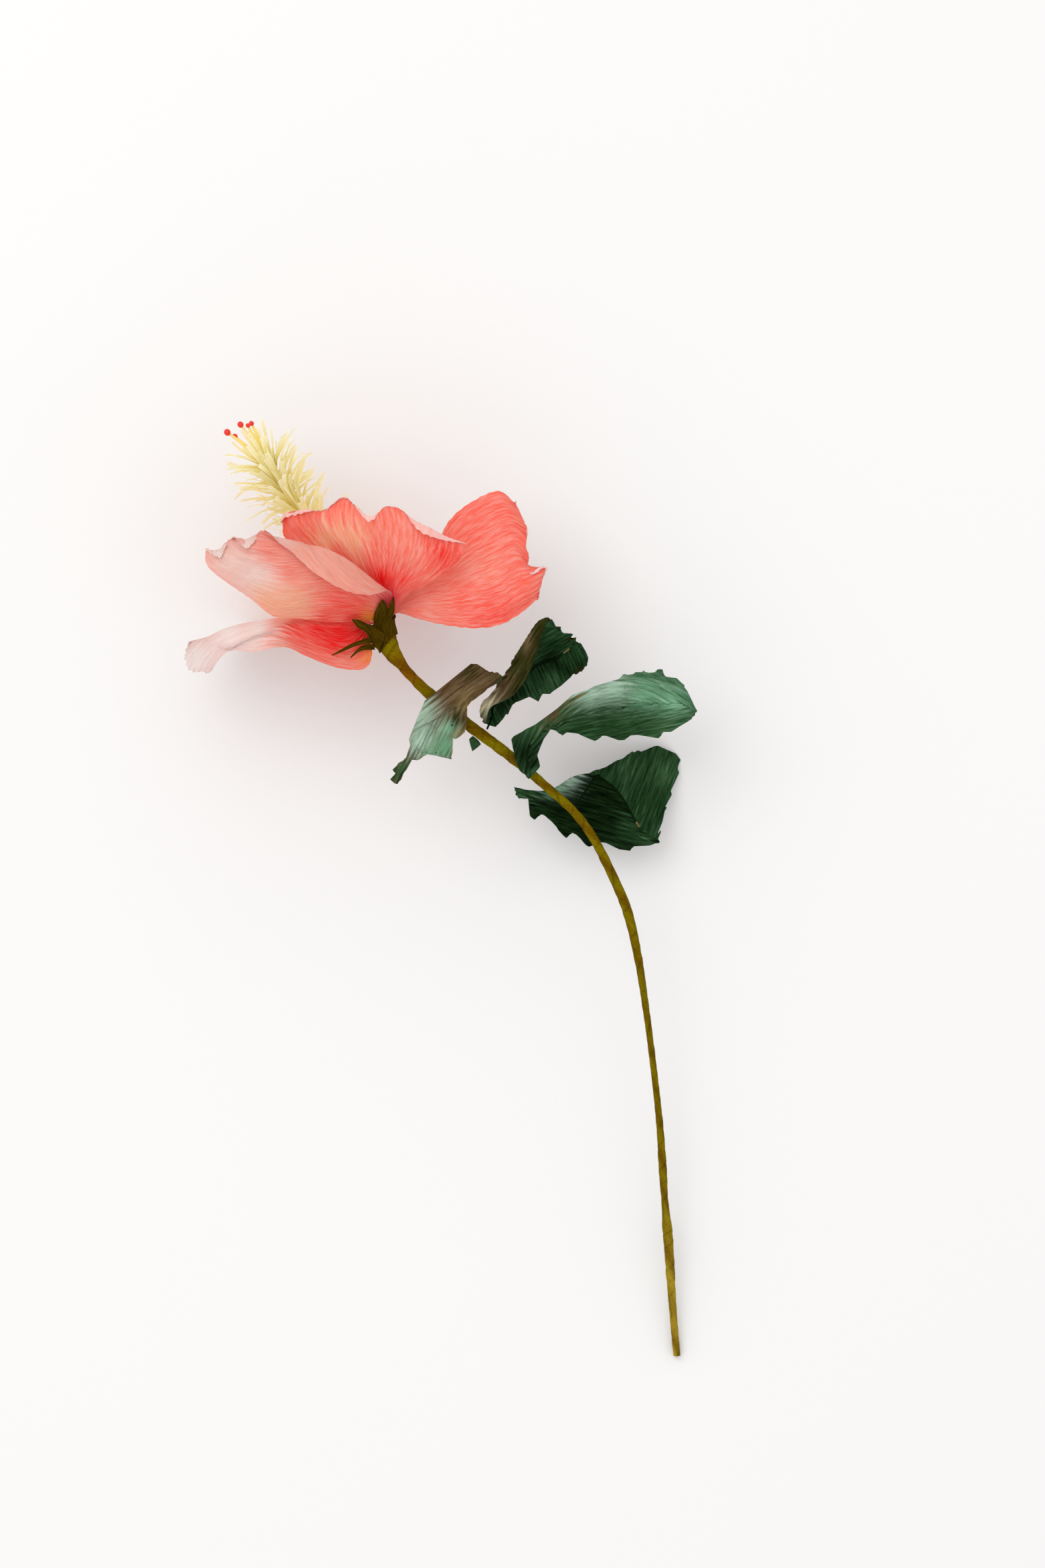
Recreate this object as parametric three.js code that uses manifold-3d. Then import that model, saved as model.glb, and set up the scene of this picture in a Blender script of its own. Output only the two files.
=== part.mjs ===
// Paper hibiscus on a wrapped wire stem, lying on its far side. Millimetres, +Z up, +Y along the stem.
import * as THREE from "three";
import Module from "manifold-3d";

const wasm = await Module();
wasm.setup();

// Driving dimensions
const PETAL_SHEET = 0.4;
const LEAF_SHEET = 0.5;
const COLLAR_SHEET = 0.45;
const WIRE_RADIUS = 0.8;
const WIRE_BORE = 1.3;
const WIRE_SIDES = 8;
const WRAP_SIDES = 10;
const WRAP_END_CAP = 1.5;
const WIRE_END_GAP = 1.6;
const WRAP_TOP_SHARE = 0.7;
const WRAP_OVERRUN_SHARE = 0.6;
const LEAF_WIRE_RADIUS = 0.4;
const GLUE_GAP = 0.55;
const PAPER_ROUGHNESS = 0.85;

// Flower base: where the petals leave the collar, and the way the flower faces
const BASE = new THREE.Vector3(-23.7, 112, 64.3);
const AXIS = new THREE.Vector3(-0.25, 0.96, -0.1).normalize();
const RIGHT = new THREE.Vector3().crossVectors(AXIS, new THREE.Vector3(0, 0, 1)).normalize();
const FRONT = new THREE.Vector3().crossVectors(RIGHT, AXIS);
const CLAW_RADIUS = 3.5;
const CLAW_HALF_ANGLE = 27;
const CLAW_LEVELS = [-3, 0.8];
const COLLAR_RADIUS = 4.35;
const COLLAR_LENGTH = 10;
const COLLAR_SWELL = 0.15;
const COLLAR_FOOT_SWELL = 0.1;

// Stem centreline from the cut end to the flower base: x, y, z, wrap radius
const STEM = [
  [100.2, -197.6, 1.6, 1.6],
  [98.4, -177.2, 5.4, 1.65],
  [96.8, -152.8, 9.8, 2],
  [96, -143, 11.5, 2],
  [94.9, -131, 13.7, 1.55],
  [94.2, -120, 15.7, 1.75],
  [92.7, -98.5, 19.4, 1.55],
  [90, -74, 23.6, 1.5],
  [87, -51, 27.5, 1.5],
  [83.6, -29, 31.3, 1.75],
  [79, -9, 35, 2.05],
  [72, 7.6, 38.4, 1.95],
  [64.3, 22.5, 41.6, 1.85],
  [56, 33.5, 44.3, 1.8],
  [45.5, 43, 47, 1.85],
  [36, 51.2, 49.3, 2],
  [25, 60, 52, 2.3],
  [11, 70.4, 55, 2.45],
  [-4, 82.4, 58.8, 2.4],
  [-12.2, 90.3, 61.6, 2.1],
  [-16.3, 95.2, 63.4, 2.5],
  [-20.7, 101.2, 65, 3.5],
  [-22.2, 106.3, 64.9, 3.55],
];
// Column inside the flower: x, y, z
const COLUMN = [
  [-23.7, 112, 64.3],
  [-27, 119.5, 63.6],
  [-34.5, 130, 62.5],
  [-47, 145.5, 60.5],
  [-60, 161, 58.8],
  [-67.5, 171.5, 58],
  [-73, 180.5, 57.8],
];

// Ribs of a sheet run from its root to its tip; a rib lists points across the sheet as x, y, z in turn.
const rib = (...n) => n.flatMap((_, i) => (i % 3 ? [] : [new THREE.Vector3(n[i], n[i + 1], n[i + 2])]));

// Left petal: lower margin, three points across, rolled bend, free edge of the roll
const PETAL_1 = [
  rib(-31.5, 113.3, 70.5, -29.5, 115.5, 72, -27.2, 117.8, 73.5, -24.6, 120.4, 75, -22, 124, 77, -20, 125, 78.5),
  rib(-45, 112.5, 76, -41.5, 117, 80, -37.5, 121.5, 83, -33, 126, 84.5, -28.5, 131, 85, -30, 123.6, 89),
  rib(-58, 114, 79, -53.5, 119.5, 86, -48, 125.5, 90, -42.5, 132, 91.5, -38.5, 138.6, 91, -41, 126, 97),
  rib(-69.5, 115, 81, -64.5, 121, 90, -59, 128, 95, -53.5, 135.5, 96, -48.5, 143.4, 94, -53, 133.5, 100.5),
  rib(-80, 123, 82, -75, 128, 90.5, -69.5, 133.5, 95.5, -63.5, 140, 96.5, -58.5, 145.8, 94, -61.5, 141.4, 99.5),
  rib(-89.5, 129.3, 82, -85, 134, 88.5, -79.5, 138.5, 93.5, -73, 143.5, 95, -67.5, 147.6, 92.5, -67, 145, 97),
  rib(-97.2, 136.5, 80, -94, 139.5, 83.5, -88, 143.5, 86, -81, 145, 91, -74.5, 149.6, 90.5, -70, 148.8, 94),
  rib(-98.5, 143, 78, -92, 139.8, 85, -87, 147.5, 82, -80, 144.5, 91, -74, 150.3, 88, -71.5, 150, 91.5),
];

// Front petal: nine points from the left margin to the right margin
const PETAL_2 = [
  rib(
    -25.8, 119.3, 68.6, -24.8, 119.4, 69.3, -23.8, 119.4, 69.8, -22.8, 119.2, 70.2, -21.8, 119, 70.4,
    -20.8, 118.8, 70.2, -19.9, 118.5, 69.8, -19.1, 118.2, 69.2, -18.4, 117.8, 68.3,
  ),
  rib(
    -36, 127.5, 70, -33, 128, 71.5, -30, 128.3, 73.3, -27, 128.2, 75, -24, 127.7, 76,
    -21, 126.9, 76.2, -18.2, 126, 75.8, -15.6, 125, 74.8, -13.2, 124.2, 73.2,
  ),
  rib(
    -48, 135, 70.5, -43.5, 137, 74, -38, 138, 78.5, -32, 138.5, 82, -26.5, 137.8, 84.5,
    -21, 136.5, 85, -15.3, 134.5, 84, -9.5, 131.3, 81, -3.5, 129.3, 77.5,
  ),
  rib(
    -58.5, 142, 71, -53, 146, 76, -45.5, 147.5, 83, -37, 148.5, 89.5, -28.5, 147, 93,
    -21.5, 145.8, 93.5, -14, 142.5, 92, -4.8, 137.5, 87, 4.5, 134.8, 80.5,
  ),
  rib(
    -65.2, 148, 72, -59.5, 153, 77.5, -49, 154, 86, -39, 157, 94, -30, 152.5, 99,
    -23, 154, 99.5, -15, 152, 97, -3.5, 144.5, 91, 9, 139.5, 82.5,
  ),
  rib(
    -66.2, 152.5, 73, -62, 158.8, 78.5, -50, 158.9, 87, -39, 163.4, 94, -30, 156.8, 102.5,
    -23.2, 159.6, 100, -15.5, 158.2, 97.5, -5, 150.9, 94, 10.6, 144.6, 83.5,
  ),
];

// Right petal: six points from the lower margin to the upper margin
const PETAL_3 = [
  rib(-17.6, 116.5, 66.2, -16.9, 118, 64.9, -16.4, 119.4, 63, -16.2, 120.7, 61, -16, 121.9, 58.8, -16, 123, 56.5),
  rib(-9, 113.9, 68.5, -8.5, 117.5, 68, -8, 121.5, 66.5, -8.3, 126, 63.5, -9, 130.5, 59, -10.5, 134.5, 53),
  rib(2, 111.3, 70.5, 2.5, 117, 70.5, 3, 123.5, 69, 2.5, 130.5, 66, 1.5, 137.5, 60.5, -2, 144, 53),
  rib(14, 110, 71.5, 14, 117, 72.5, 14, 125, 71.5, 13, 134, 68.5, 10.5, 144, 62.5, 4, 155.5, 54),
  rib(25, 111.3, 71, 25, 118.5, 73, 24.5, 127, 72.5, 23, 137, 69.5, 20, 149.5, 63, 13.5, 163.5, 53.5),
  rib(34, 116.2, 69, 34, 123, 71.5, 33.5, 129.5, 71.5, 31, 140, 68.5, 29, 153.5, 62, 24.5, 168.2, 52),
  rib(40, 121, 66.5, 42.3, 129.5, 68.5, 44, 135.3, 70, 36, 138.5, 66.5, 35.8, 152, 61.5, 31, 163.6, 53),
];

// Lower left petal: seven points from the near margin over the ridge to the far margin
const PETAL_4 = [
  rib(
    -30.3, 110.2, 66.8, -30.8, 110.8, 66.3, -31.2, 111.5, 65.4, -31.4, 112.2, 64.3,
    -31.4, 112.8, 62.8, -31.1, 113.2, 61, -30.5, 113.5, 58.8,
  ),
  rib(
    -28.3, 100.3, 69, -31, 103.3, 70.2, -33.3, 106.2, 70.6, -35.3, 108.8, 71,
    -37, 111.5, 70.5, -38.5, 114.3, 60, -38.5, 116.5, 47,
  ),
  rib(
    -31.3, 93.1, 71, -37, 98.8, 73, -41.5, 104.9, 71.5, -44, 108.7, 73.3,
    -46.5, 112.2, 73, -48, 115, 55, -48, 116.5, 32,
  ),
  rib(
    -42.5, 93.4, 72, -47.5, 98.8, 74, -52, 104.4, 72, -54, 108.6, 74,
    -56.5, 112.8, 73.5, -58, 115, 48, -58, 116, 14,
  ),
  rib(
    -55, 98, 71.5, -59, 101.8, 73, -62.5, 104.8, 71.5, -64.2, 108.4, 73,
    -66, 112, 72.5, -68.5, 114, 42, -69, 114.6, 0.9,
  ),
  rib(
    -65, 102.2, 71, -68.5, 104.3, 72, -72, 107.5, 71, -73.8, 108, 71.8,
    -76, 108, 71, -80, 112.2, 42, -81, 112.8, 0.9,
  ),
  rib(
    -78, 100.2, 69.5, -79.5, 102, 70, -81, 103.8, 69.7, -82.5, 104.7, 69.7,
    -84.5, 104.2, 69, -89, 109.8, 44, -91, 110.3, 12,
  ),
  rib(
    -86.3, 100.8, 67.6, -86.6, 101.5, 67.7, -87, 102.2, 67.6, -87.6, 102.6, 67.2,
    -89.3, 101.5, 66.3, -95, 106.5, 46, -98, 106.7, 22,
  ),
  rib(
    -91.5, 98.3, 64.8, -92, 98.8, 64.5, -92.8, 99.4, 63.8, -94, 100, 62.3,
    -96, 101, 58.5, -100.5, 104, 46, -103, 105.5, 33,
  ),
  rib(
    -96.2, 91.9, 63, -97.8, 91, 62.3, -100, 91.9, 60.8, -103.2, 91.6, 58.3,
    -106, 93.2, 55, -107.6, 98.4, 48.5, -106, 104.8, 40,
  ),
];

// Hidden petal against the floor: five points from the left margin to the right margin
const PETAL_5 = [
  rib(-28, 116.5, 57.2, -25.7, 117.3, 56, -23.5, 117.8, 55.6, -21.3, 118.2, 56, -19, 118.6, 57.2),
  rib(-38, 123.5, 45, -32, 126, 40, -25, 127, 38, -18, 127, 40, -11, 126, 45),
  rib(-48, 131, 30, -38, 135.5, 22.5, -28, 137, 20, -17, 136.5, 22.5, -6, 134, 30),
  rib(-55, 139, 17, -43, 144, 10, -30, 145.5, 8, -17, 144.5, 10, -3, 140.5, 17),
  rib(-57, 146, 8, -45.5, 150.5, 0.2, -32, 151, 3, -18, 150.5, 0.2, -4, 145.5, 8),
];

// Leaf over the stem: from its right end to the drooping tip; upper margin, two points across, lower margin
const LEAF_A = [
  rib(24, 91.5, 69, 25.3, 90.8, 69.5, 26.2, 89.6, 69.5, 25.2, 87.6, 69),
  rib(19.5, 92.6, 68.5, 20.7, 90, 70, 21.5, 87.3, 70, 20.5, 84.6, 68.5),
  rib(13.8, 95.2, 66, 14.8, 90.7, 70, 15.3, 85.8, 70.5, 14.6, 80.6, 66.5),
  rib(5, 89, 65.5, 7.3, 85, 70, 9.5, 81, 70.5, 11.5, 76.4, 64.5),
  rib(-3.5, 82.3, 66.5, 0.5, 78.2, 70.5, 5, 74, 69.5, 10, 69.3, 62.5),
  rib(-8.3, 76.2, 67.5, -3.5, 72.2, 71.5, 1.8, 68, 70, 8, 64.3, 63),
  rib(-11, 68.8, 67, -7, 66, 70, -1.5, 63.3, 69, 5, 61.5, 64),
  rib(-12.8, 61.5, 66, -9.8, 60, 67.5, -4, 58.2, 67.5, 3.5, 55.6, 64.5),
  rib(-14, 55.7, 64.5, -12.9, 55.6, 65.5, -11.7, 55.4, 65.8, -9.8, 54.8, 65.2),
  rib(-19, 50.8, 62.5, -17.9, 50.2, 63.2, -16.9, 49.7, 63.3, -16, 49.3, 62.8),
  rib(-20.7, 47, 61, -20.2, 46.2, 61.4, -19.5, 45.5, 61.5, -18.6, 45, 61.2),
];

// Folded leaf: lower margin, half way, midrib, half way, fold crest, free edge of the folded flap
const LEAF_B = [
  rib(23.3, 68.8, 56.3, 22.2, 69.1, 55.1, 20.9, 69.5, 54.6, 19.6, 70, 55.4, 18.2, 70.5, 58, 19.3, 70.3, 60),
  rib(27.8, 74.3, 60, 26, 75.8, 56.5, 24.2, 77, 54.5, 21, 77.8, 58, 17.8, 78, 64, 21.5, 77, 67.5),
  rib(33.5, 79.9, 61, 31.6, 82.5, 56.5, 29.8, 85.5, 54, 27.5, 87, 58, 24.3, 86.6, 64, 30, 81.5, 68.5),
  rib(40, 80.9, 61.5, 38.4, 86, 56, 36.8, 91, 53, 34.5, 95, 59, 30.8, 96.6, 66, 36.5, 89.6, 70),
  rib(46.3, 83.1, 62, 45.3, 88.5, 56, 44.5, 93, 52.5, 42, 100.5, 58.5, 36.6, 105.4, 66.5, 40.8, 100.3, 70),
  rib(52.5, 87, 61, 52, 90.2, 55.5, 51.5, 92.7, 52, 51.5, 103, 58, 41.8, 113, 66.5, 42.8, 107.5, 69.5),
  rib(57.2, 91.4, 59, 59, 92.6, 55.5, 62.4, 96, 53, 57, 106, 57.5, 46.8, 114, 64.5, 44.2, 112.2, 67.5),
];

// Broad right leaf with a twisted neck: upper margin, half way, midrib, half way, lower margin
const LEAF_C = [
  rib(34.6, 49.6, 53.5, 36, 48.4, 53.8, 37.4, 47, 53.8, 38.9, 48.6, 53, 40.3, 50.3, 51.8),
  rib(31.6, 57, 57, 34.2, 56.4, 57.6, 36.6, 55.8, 57.6, 38.6, 55.6, 56.2, 40.4, 56, 53.5),
  rib(30, 63.4, 59, 34, 62.6, 60.5, 37.3, 62, 60.5, 40, 61.6, 58.5, 42.2, 61.6, 54),
  rib(34.6, 67.4, 61, 37.5, 67, 62.5, 40.2, 66.5, 62.5, 42.8, 66, 60, 45.3, 66.8, 55),
  rib(44.2, 72.6, 60.5, 46.2, 71.4, 62.8, 48.2, 70, 63.2, 49.8, 68.3, 61, 51.5, 65.6, 56.5),
  rib(55.5, 82, 58, 57.2, 78.6, 61.5, 58.8, 75, 63, 60.3, 70.4, 61.5, 62, 64.2, 57.5),
  rib(67, 86.4, 56.5, 68.5, 84, 60, 70, 82.2, 62, 71, 73, 61, 72, 64.3, 56.5),
  rib(79.5, 91, 54.5, 80, 86, 58.5, 80.5, 81, 60.5, 81, 73, 59, 81.3, 65.3, 54.5),
  rib(92.5, 92.3, 51.5, 91.5, 86, 55.5, 90.5, 79, 57.5, 90.5, 72, 56, 91.5, 64.6, 51.5),
  rib(102.3, 86.5, 49.5, 101.8, 82.5, 52.5, 101.4, 78, 53.5, 101.4, 74, 52.5, 101.5, 70, 50),
  rib(107, 79, 48.5, 107.6, 77.2, 49.2, 108, 75.4, 49.4, 107.4, 74, 49.2, 106.4, 72.7, 48.7),
];

// Lower leaf behind the stem, near half: toothed near margin, two points across, folded midrib
const LEAF_D_NEAR = [
  rib(33, 38.6, 29, 32.3, 40, 30, 31.7, 41.7, 31, 31.2, 43.3, 31.5),
  rib(38.5, 30.5, 27, 38.5, 34.5, 30, 38.3, 38.5, 32, 38, 42.2, 33),
  rib(46, 29.3, 26, 46.5, 33.5, 30.5, 46.8, 38, 33.5, 46.5, 42.3, 35.5),
  rib(52.7, 22.4, 24, 54, 30, 29.5, 55.5, 38, 33.5, 56, 47.8, 37.5),
  rib(61.5, 19.6, 22.5, 62.5, 28.5, 28.5, 63.5, 38, 31.5, 64.5, 49, 36.5),
  rib(70, 19.9, 21.5, 71, 28, 27.5, 71.5, 36.5, 31, 72, 44.6, 33),
  rib(79, 16.8, 20, 79.5, 23, 24, 80, 29.5, 27, 79.8, 34.4, 28),
  rib(86, 19, 19.5, 86, 21, 21, 86, 23, 22, 85.8, 24.9, 22.8),
  rib(92.8, 20, 18.3, 92.7, 20.5, 18.5, 92.5, 21, 18.7, 92, 21.6, 18.9),
];
// Far half of the same leaf: folded midrib, two points across, far margin
const LEAF_D_FAR = [
  rib(61.5, 48.6, 36.5, 62.2, 49, 36, 62.9, 49.4, 35.3, 63.6, 49.8, 34.4),
  rib(66, 48.2, 35.8, 68.5, 49.5, 32, 71, 51, 28, 73.5, 53.6, 24),
  rib(72, 44.8, 33, 76, 49, 26.5, 80, 53.5, 20, 84.5, 58.9, 12),
  rib(77, 39.3, 30, 82, 46, 22, 87, 53.5, 13.5, 92.5, 60.8, 4.5),
  rib(80.5, 33.4, 27.6, 86.5, 42, 20, 93, 49.5, 10, 101.6, 55, 0.3),
  rib(84, 27.3, 24.2, 88.5, 33.5, 18.5, 93.5, 39, 11.5, 98.2, 41.2, 6),
  rib(88.5, 23.3, 21, 90.5, 26.5, 18, 92.7, 29.5, 14.5, 94.6, 32.5, 11.5),
  rib(91.7, 21.4, 19, 92.1, 22.4, 18.2, 92.6, 23.4, 17.3, 93, 24.4, 16.5),
];

// Paper scrap under the stem
const STIPULE = [
  rib(12.2, 63.4, 48.6, 13, 64.4, 48.8, 13.9, 65, 48.6),
  rib(12.8, 61.2, 47.6, 14.4, 62.3, 48.2, 16, 63.3, 47.8),
  rib(13.6, 58.6, 46.6, 15.2, 59.8, 47.2, 17.2, 61.6, 46.8),
];

// Slender strips beside the collar: centreline points and half width at the root
const BRACT_1 = rib(-26.7, 104.4, 68.2, -29.3, 105.3, 73, -33.5, 104.2, 75.3, -40, 101, 76.8, -45, 98.7, 76.8);
const BRACT_2 = rib(-27.2, 102.2, 68.2, -29.5, 102.4, 72.2, -33, 101.3, 74.8, -37, 97.8, 75.6);
const BRACT_HALF_WIDTH = 1;
const BRACT_END_HALF_WIDTH = 0.3;
const BRACT_MESH = [9, 3];

// Pointed sepals of the collar: angle round the flower, half width, tip
const SEPALS = [
  { angle: 92, half: 2.1, tip: [-24, 121.8, 79] },
  { angle: 45, half: 1.6, tip: [-19.3, 123, 80.5] },
  { angle: 138, half: 1.7, tip: [-36.5, 113.3, 78.5] },
  { angle: 234, half: 1.8, tip: [-30.5, 111.5, 55.5] },
  { angle: 305, half: 1.8, tip: [-19.8, 117, 54.5] },
];
const SEPAL_LIFT = 1.2;
const SEPAL_ROOT_LEVEL = -1.5;
const SEPAL_RIM_LEVEL = 0.2;
const SEPAL_RIM_WIDTH = 0.9;
const SEPAL_BOW = 0.6;
const SEPAL_TIP_WIDTH = 0.2;
const SEPAL_MESH = [5, 3];

// Beads of the five stigmas, and where their threads leave the top of the column, aside and forward
const STIGMAS = [
  { bead: [-89.3, 192.5, 60], radius: 1.4, root: [-1.3, 0.7] },
  { bead: [-86.2, 190.8, 56], radius: 1.2, root: [-1.1, -0.8] },
  { bead: [-83.8, 195.8, 58], radius: 1.3, root: [0, 0] },
  { bead: [-80.6, 195.3, 62.5], radius: 0.95, root: [0.5, 1.4] },
  { bead: [-79.2, 196.3, 58], radius: 1.05, root: [1.4, -0.1] },
];
const STIGMA_THREAD = 0.4;
const STIGMA_LIFT = 1.2;
const STIGMA_BOW = 0.5;
const STIGMA_STEPS = 3;
const BEAD_DETAIL = 1;

// Fringe of the stamen column
const FRINGE_STRIPS = 44;
const FRINGE_START = 0.6;
const FRINGE_END = 0.985;
const FRINGE_LENGTH = 18;
const FRINGE_SPLAY = 58;
const FRINGE_HALF_WIDTH = 0.55;
const FRINGE_SHEET = 0.4;
const SLEEVE_RADIUS = 2.3;
const GOLDEN_ANGLE = 137.5;
const SLEEVE_FOOT_SHARE = 0.3;
const SLEEVE_TOP_SHARE = 0.7;
const SLEEVE_OVERRUN = 2;

// Rows from root to tip and columns across each leaf sheet, and the notches of the margins
const LEAF_MESH = { a: [17, 7], b: [13, 11], c: [21, 9], near: [17, 7], far: [15, 7], scrap: [4, 3] };
const NOTCH = 1.2;
const NOTCH_SHARE = 0.4;

// A solid from vertices and triangles, with its faces turned outwards.
function solidFrom(vertices, triangles) {
  let volume = 0;
  for (const [a, b, c] of triangles) {
    volume += vertices[a].dot(new THREE.Vector3().crossVectors(vertices[b], vertices[c]));
  }
  const faces = volume < 0 ? triangles.map(([a, b, c]) => [a, c, b]) : triangles;
  const geometry = new THREE.BufferGeometry().setFromPoints(vertices);
  geometry.setIndex(faces.flat());
  return geometry;
}

function toManifold(geometry) {
  return new wasm.Manifold(
    new wasm.Mesh({
      numProp: 3,
      vertProperties: new Float32Array(geometry.getAttribute("position").array),
      triVerts: new Uint32Array(geometry.index.array),
    }),
  );
}

function fromManifold(solid) {
  const mesh = solid.getMesh();
  const geometry = new THREE.BufferGeometry();
  geometry.setAttribute("position", new THREE.BufferAttribute(mesh.vertProperties, mesh.numProp));
  geometry.setIndex(new THREE.BufferAttribute(mesh.triVerts, 1));
  return geometry;
}

const join = (...geometries) => fromManifold(wasm.Manifold.union(geometries.map(toManifold)));
const cut = (body, tool) => fromManifold(toManifold(body).subtract(toManifold(tool)));

function along(points, t) {
  return new THREE.CatmullRomCurve3(points, false, "catmullrom").getPoint(t);
}

// Points of a smooth surface through the ribs, rows from root to tip and columns across.
function surface(ribs, rows, columns) {
  const across = ribs.map((points) =>
    Array.from({ length: columns }, (_, j) => along(points, j / (columns - 1))),
  );
  return Array.from({ length: rows }, (_, i) =>
    Array.from({ length: columns }, (_, j) => along(across.map((line) => line[j]), i / (rows - 1))),
  );
}

function normalAt(grid, i, j) {
  const row = (n) => grid[Math.min(Math.max(n, 0), grid.length - 1)];
  const column = (n) => Math.min(Math.max(n, 0), grid[0].length - 1);
  const lengthwise = new THREE.Vector3().subVectors(row(i + 1)[j], row(i - 1)[j]);
  const crosswise = new THREE.Vector3().subVectors(grid[i][column(j + 1)], grid[i][column(j - 1)]);
  return lengthwise.cross(crosswise).normalize();
}

// A sheet of even thickness on a grid of points, closed round its margin.
function sheet(grid, thickness) {
  const rows = grid.length;
  const columns = grid[0].length;
  const vertices = [];
  for (const side of [0.5, -0.5]) {
    for (let i = 0; i < rows; i++) {
      for (let j = 0; j < columns; j++) {
        vertices.push(grid[i][j].clone().addScaledVector(normalAt(grid, i, j), side * thickness));
      }
    }
  }
  const lower = rows * columns;
  const at = (i, j) => i * columns + j;
  const triangles = [];
  for (let i = 0; i + 1 < rows; i++) {
    for (let j = 0; j + 1 < columns; j++) {
      const corners = [at(i, j), at(i + 1, j), at(i + 1, j + 1), at(i, j + 1)];
      const [a, b, c, d] = corners;
      const [e, f, g, h] = corners.map((n) => n + lower);
      triangles.push([a, b, c], [a, c, d], [e, g, f], [e, h, g]);
    }
  }
  const margin = [];
  for (let j = 0; j + 1 < columns; j++) margin.push(at(0, j));
  for (let i = 0; i + 1 < rows; i++) margin.push(at(i, columns - 1));
  for (let j = columns - 1; j > 0; j--) margin.push(at(rows - 1, j));
  for (let i = rows - 1; i > 0; i--) margin.push(at(i, 0));
  margin.forEach((from, n) => {
    const to = margin[(n + 1) % margin.length];
    triangles.push([from, to, to + lower], [from, to + lower, from + lower]);
  });
  return solidFrom(vertices, triangles);
}

// Notches along the margins of a leaf, one on every second row.
function notchMargins(grid, depth, margins) {
  grid.forEach((row, i) => {
    if (i % 2 === 0 || i === grid.length - 1) return;
    for (const side of margins) {
      const edge = side === "first" ? 0 : row.length - 1;
      const inner = side === "first" ? 1 : row.length - 2;
      const reach = row[edge].distanceTo(row[inner]);
      row[edge].lerp(row[inner], Math.min(depth / reach, NOTCH_SHARE));
    }
  });
  return grid;
}

// A round bar through the points, closed by a flat face at each end.
function bar(points, radiusAt, sides, steps) {
  const curve = new THREE.CatmullRomCurve3(points, false, "catmullrom");
  const up = new THREE.Vector3(0, 0, 1);
  const vertices = [];
  for (let i = 0; i <= steps; i++) {
    const t = i / steps;
    const tangent = curve.getTangent(t);
    const side = new THREE.Vector3().crossVectors(tangent, up).normalize();
    const rise = new THREE.Vector3().crossVectors(side, tangent);
    for (let k = 0; k < sides; k++) {
      const angle = (2 * Math.PI * (k + 0.5)) / sides;
      const spoke = side.clone().multiplyScalar(Math.cos(angle)).addScaledVector(rise, Math.sin(angle));
      vertices.push(curve.getPoint(t).addScaledVector(spoke, radiusAt(t)));
    }
  }
  const triangles = [];
  for (let i = 0; i < steps; i++) {
    for (let k = 0; k < sides; k++) {
      const a = i * sides + k;
      const b = i * sides + ((k + 1) % sides);
      triangles.push([a, b, b + sides], [a, b + sides, a + sides]);
    }
  }
  for (const t of [0, 1]) {
    const first = t * steps * sides;
    const centre = vertices.push(curve.getPoint(t)) - 1;
    for (let k = 0; k < sides; k++) {
      const ends = [first + k, first + ((k + 1) % sides)];
      triangles.push(t ? [centre, ...ends] : [centre, ends[1], ends[0]]);
    }
  }
  return solidFrom(vertices, triangles);
}

const vectors = (table) => table.map(([x, y, z]) => new THREE.Vector3(x, y, z));
const radians = (degrees) => (degrees * Math.PI) / 180;

// A point round the flower axis: level along the axis from the base, angle from the right towards the front.
function round(level, radius, degrees) {
  return BASE.clone()
    .addScaledVector(AXIS, level)
    .addScaledVector(RIGHT, radius * Math.cos(radians(degrees)))
    .addScaledVector(FRONT, radius * Math.sin(radians(degrees)));
}

// Narrow glued roots of a petal, put before its free ribs.
function withClaw(ribs, middle, turn) {
  const points = ribs[0].length;
  const claws = CLAW_LEVELS.map((level) =>
    Array.from({ length: points }, (_, j) =>
      round(level, CLAW_RADIUS, middle + turn * CLAW_HALF_ANGLE * (1 - (2 * j) / (points - 1))),
    ),
  );
  return [...claws, ...ribs];
}

const group = new THREE.Group();
group.name = "paper_hibiscus";

function add(name, geometry, color) {
  geometry.computeVertexNormals();
  const material = new THREE.MeshStandardMaterial({ color, roughness: PAPER_ROUGHNESS });
  const mesh = new THREE.Mesh(geometry, material);
  mesh.name = name;
  group.add(mesh);
}

const CORAL = 0xf07064;
const LEAF_GREEN = 0x24503c;
const OLIVE = 0x82781a;
const DARK_OLIVE = 0x4c4014;
const YELLOW = 0xf8e890;
const BEAD_RED = 0xb8200f;
const STEEL = 0x8c8f92;

// Stem: the wire runs from just above the closed end of the wrap to the top of the column
const stemPoints = vectors(STEM);
const columnPoints = vectors(COLUMN);
const wirePoints = [...stemPoints, ...columnPoints];
const WIRE_STEPS = wirePoints.length - 1;
const fromCutEnd = (distance) => stemPoints[1].clone().sub(stemPoints[0]).setLength(distance).add(stemPoints[0]);
const wireFrom = fromCutEnd(WRAP_END_CAP + WIRE_END_GAP);
const boreFrom = fromCutEnd(WRAP_END_CAP);
const insideWrap = stemPoints.at(-2).clone().lerp(stemPoints.at(-1), WRAP_TOP_SHARE);
const beyondWrap = stemPoints.at(-1).clone().lerp(columnPoints[0], WRAP_OVERRUN_SHARE);
add(
  "stem_wire",
  bar([wireFrom, ...wirePoints.slice(1)], () => WIRE_RADIUS, WIRE_SIDES, WIRE_STEPS),
  STEEL,
);

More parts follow.
